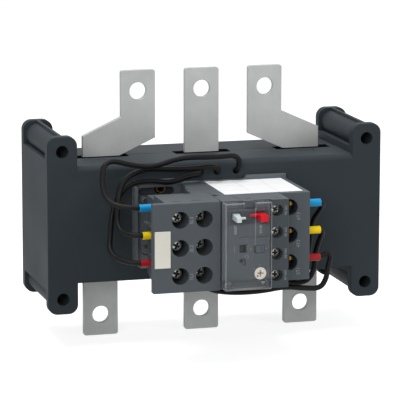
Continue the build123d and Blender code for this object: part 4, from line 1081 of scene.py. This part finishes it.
class RELAY_OT_controls(bpy.types.Operator):
    """Dress the buttons, the dial, the selector, the plunger and the clear cover."""

    bl_idname = "relay.controls"
    bl_label = "Controls"

    def execute(self, context):
        self.cover()
        foot = (-8.4, -4.8, 10.3, 13.5)
        self.button("reset", foot, (-8.4, -6.0, 10.3, 12.8), (-7.2, -2.7, 11.1, 12.2))
        foot = (3.8, 7.9, 10.1, 13.5)
        self.button("stop", foot, foot, (-0.4, 4.8, 12.4, 13.5))
        dress("spring_steel", "reset_spring", "stop_spring")
        refined("setting_dial", "dial_cream", 0.00012)
        refined("mode_selector", "selector_grey", 0.00012)
        refined("test_plunger", "plunger_dark", 0.0001)
        self.dial_face()
        # Thin line on the cover in the rim finish, which is a painted highlight
        ends = (1.28, COVER_FRONT - 0.01, -1.9), (1.46, COVER_FRONT + 0.03, 17.6)
        line = boxes("cover line", ends)
        new_piece("cover_line", line, "clear_rim", "cover")
        stripe = boxes("selector stripe", ((6.2, 58.34, -6.1), (7.4, 58.2, -3.4)))
        new_piece("selector_stripe", stripe, "selector_blue", "selector")
        return {"FINISHED"}

    def cover(self):
        """Clear cover with painted light: painted shade makes it near black at its foot, and
        painted highlights make it brighter on its rims and side walls.
        """
        mesh = refined("clear_cover", "clear_cover", 0.00015).data
        for finish in ("clear_rim", "clear_foot", "clear_wall"):
            mesh.materials.append(finish_of(finish))
        foot_z, flat = -23.0 * MM, 0.985
        # Foot faces get painted shade, slanted rim faces a painted highlight, side walls a painted
        # reflection
        for face in mesh.polygons:
            if face.center.z < foot_z:
                face.material_index = 2
            elif max(abs(value) for value in face.normal) < flat:
                face.material_index = 1
            elif abs(face.normal.x) > flat:
                face.material_index = 3

    def button(self, name, foot, tip, pointer):
        """Push button that narrows to its tip, with a small pointer on its inner side."""
        rings = []
        for (x0, x1, z0, z1), ahead in ((foot, 52.5), (foot, 57.7), (tip, 65.5)):
            rings.append([mm(x, ahead, z) for x, z in ((x0, z0), (x1, z0), (x1, z1), (x0, z1))])
        shape = bmesh.new()
        lofted(shape, rings)
        x0, x1, z0, z1 = pointer
        tool = boxes("pointer", ((x0, 60.1, z0), (x1, 61.6, z1)))
        mesh = eased(carved(mesh_from(shape, name), tool, "UNION"), 0.0002)
        finish = "reset_white" if name == "reset" else "stop_red"
        new_piece(name + "_key", mesh, finish, name, (name + "_button",))

    def dial_face(self):
        """Brown floor of the dial's cross recess and its dark pointer."""
        x, z = DIAL
        arms = [
            ((x - half_x, 57.5, z - half_z), (x + half_x, 57.62, z + half_z))
            for half_x, half_z in ((1.78, 0.43), (0.43, 1.78))
        ]
        new_piece("dial_cross", boxes("dial cross", *arms), "dial_recess", "dial")
        shape = bmesh.new()
        corners = ((4.05, -18.35), (4.6, -19.35), (5.05, -18.25))
        shape.faces.new([shape.verts.new(mm(x, 58.37, z)) for x, z in corners])
        mesh = mesh_from(shape, "dial pointer")
        new_piece("dial_pointer", mesh, "mark_dark", "dial")


# Directions along a word, up its letters and out of its surface
UPWARDS = ((0, 0, 1), (-1, 0, 0), (0, -1, 0))
ACROSS = ((1, 0, 0), (0, 0, 1), (0, -1, 0))
ON_TOP = ((1, 0, 0), (0, 1, 0), (0, 0, 1))


class RELAY_OT_marks(bpy.types.Operator):
    """Add the plain marks: terminal codes, words beside the switches, dial scale and lines."""

    bl_idname = "relay.marks"
    bl_label = "Marks"

    def execute(self, context):
        front = PANEL_FRONT
        rows = [
            ("RESET", (-7.1, front, 5.5), 1.75, UPWARDS),
            ("STOP", (6.25, front - 0.6, 5.1), 1.75, UPWARDS),
        ]
        self.words("panel_words", "mark_white", "terminal_dark", rows)
        rows = [
            ("H", (0.95, front, -4.7), 1.5, UPWARDS),
            ("A", (8.85, front, -4.7), 1.5, UPWARDS),
            ("4", (5.5, front, -12.9), 1.3, ACROSS),
            ("3", (2.3, front, -14.8), 1.3, ACROSS),
            ("2", (1.2, front, -19.6), 1.3, ACROSS),
        ]
        self.words("panel_signs", "mark_grey", "terminal_dark", rows)
        switches = (("96 NC", 14.6), ("95 NC", 3.6), ("98 NO", -7.4), ("97 NO", -18.5))
        rows = [
            (text, (x, ahead, z), size, UPWARDS)
            for x, ahead, size, column in (
                (-29.55, BLOCK_FRONT, 2.5, (("5L3", 11.3), ("3L2", -2.9), ("1L1", -17.1))),
                (30.05, POWER_FRONT, 2.5, (("6T3", 8.1), ("4T2", -6.0), ("2T1", -20.2))),
                (18.55, AUX_FRONT, 1.8, switches),
            )
            for text, z in column
        ]
        self.words("terminal_numbers", "mark_grey", "terminal_dark", rows)
        codes = ("1/L1", "3/L2", "5/L3")
        rows = [(text, (x, -19.0, HOUSING_TOP), 5.2, ON_TOP) for text, x in zip(codes, POLE_X)]
        self.words("slot_marks", "mark_dark", "housing_slate", rows)
        self.panel_lines()
        self.top_lines()
        return {"FINISHED"}

    def words(self, name, finish, slot, rows):
        """Thin raised characters; each row has a text, its place, size and directions."""
        whole = bmesh.new()
        for text, place, size, ways in rows:
            data = bpy.data.curves.new("letters", "FONT")
            data.body = text
            data.size = size * MM
            data.extrude = 0.00002
            data.resolution_u = 3
            data.align_x = data.align_y = "CENTER"
            letters = linked("letters", data)
            raised = mm(*place) + Vector(ways[2]) * 0.00001
            letters.matrix_world = Matrix.Translation(raised) @ Matrix(ways).transposed().to_4x4()
            mesh = settled(letters)
            whole.from_mesh(mesh)
            bpy.data.meshes.remove(mesh)
        new_piece(name, mesh_from(whole, name), finish, "base")

    def panel_lines(self):
        """Scale round the dial, the line beside the trip window and the ring by the test hole."""
        shape = bmesh.new()
        centre, radius = mm(DIAL[0], PANEL_FRONT, DIAL[1]), 0.0038
        for angle in (100, 140, 180, 220, 260):
            turn = math.radians(angle)
            way = Vector((math.cos(turn), 0, math.sin(turn)))
            spin = Matrix.Rotation(-turn, 4, "Y")
            bar(shape, centre + way * radius, (0.0007, 0.00006, 0.00016), spin)
        for x0, x1, z0, z1 in ((-7.75, -7.58, -6.4, -2.3), (-1.8, -0.9, -0.8, -0.62)):
            slab(shape, mm(x0, PANEL_FRONT - 0.05, z0), mm(x1, PANEL_FRONT + 0.03, z1))
        mesh = mesh_from(shape, "panel lines")
        new_piece("panel_lines", mesh, "mark_grey", "base")
        outline = ((0.00085, 0), (0.00085, -0.00006), (0.00102, -0.00006), (0.00102, 0))
        ring = ring_mesh("test ring", outline, 28, mm(-1.24, PANEL_FRONT - 0.01, -8.52))
        new_piece("test_ring", ring, "mark_grey", "base")

    def top_lines(self):
        """Dark joint lines on the top of the relay, dark patches of painted shade for its notches,
        and a dark corner triangle.
        """
        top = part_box("relay_base")[1].z / MM
        shape = bmesh.new()
        route = ((-7.3, 41.6), (-4.9, 42.4), (-4.7, 51.9), (-3.3, 54.6), (-0.5, 55.4))
        for start, end in zip(route, route[1:]):
            start, end = mm(*start, top), mm(*end, top)
            way = end - start
            spin = Matrix.Rotation(math.atan2(way.y, way.x), 4, "Z")
            bar(shape, (start + end) / 2, (way.length + 0.0002, 0.00022, 0.00004), spin)
        # The notches are drawn as flush dark patches, which are painted shade in them
        for x0, x1, near, far in (
            (2.9, 5.1, 41.3, 42.1),
            (-0.3, 2.3, 53.2, 54.0),
            (13.9, 15.9, 54.8, 55.1),
            (-14.1, -12.0, 42.6, 43.4),
        ):
            slab(shape, mm(x0, near, top - 0.03), mm(x1, far, top + 0.03))
        corner = ((-13.9, 38.3), (-10.9, 42.6), (-13.9, 42.6))
        shape.faces.new([shape.verts.new(mm(x, ahead, top + 0.03)) for x, ahead in corner])
        mesh = mesh_from(shape, "top lines")
        new_piece("top_lines", mesh, "mark_dark", "base")


class RELAY_PT_panel(bpy.types.Panel):
    """Panel that lists the steps."""

    bl_idname = "RELAY_PT_panel"
    bl_label = "Overload relay"
    bl_space_type = "VIEW_3D"
    bl_region_type = "UI"
    bl_category = "Relay"

    def draw(self, context):
        column = self.layout.column()
        for key in RelayLooks.__annotations__:
            column.prop(context.scene.relay_looks, key)
        for step in STEPS:
            column.operator(step.bl_idname)


STEPS = (
    RELAY_OT_stage,
    RELAY_OT_leads,
    RELAY_OT_housing,
    RELAY_OT_busbars,
    RELAY_OT_transformers,
    RELAY_OT_bracket,
    RELAY_OT_block,
    RELAY_OT_relay,
    RELAY_OT_controls,
    RELAY_OT_marks,
)
CLASSES = (RelayLooks, *STEPS, RELAY_PT_panel)


def register():
    for item in CLASSES:
        bpy.utils.register_class(item)
    bpy.types.Scene.relay_looks = PointerProperty(type=RelayLooks)


def unregister():
    del bpy.types.Scene.relay_looks
    for item in reversed(CLASSES):
        bpy.utils.unregister_class(item)


def main():
    register()
    bpy.ops.relay.stage()
    bpy.ops.relay.leads()
    bpy.ops.relay.housing()
    bpy.ops.relay.busbars()
    bpy.ops.relay.transformers()
    bpy.ops.relay.bracket()
    bpy.ops.relay.block()
    bpy.ops.relay.relay()
    bpy.ops.relay.controls()
    bpy.ops.relay.marks()


if __name__ == "__main__":
    main()
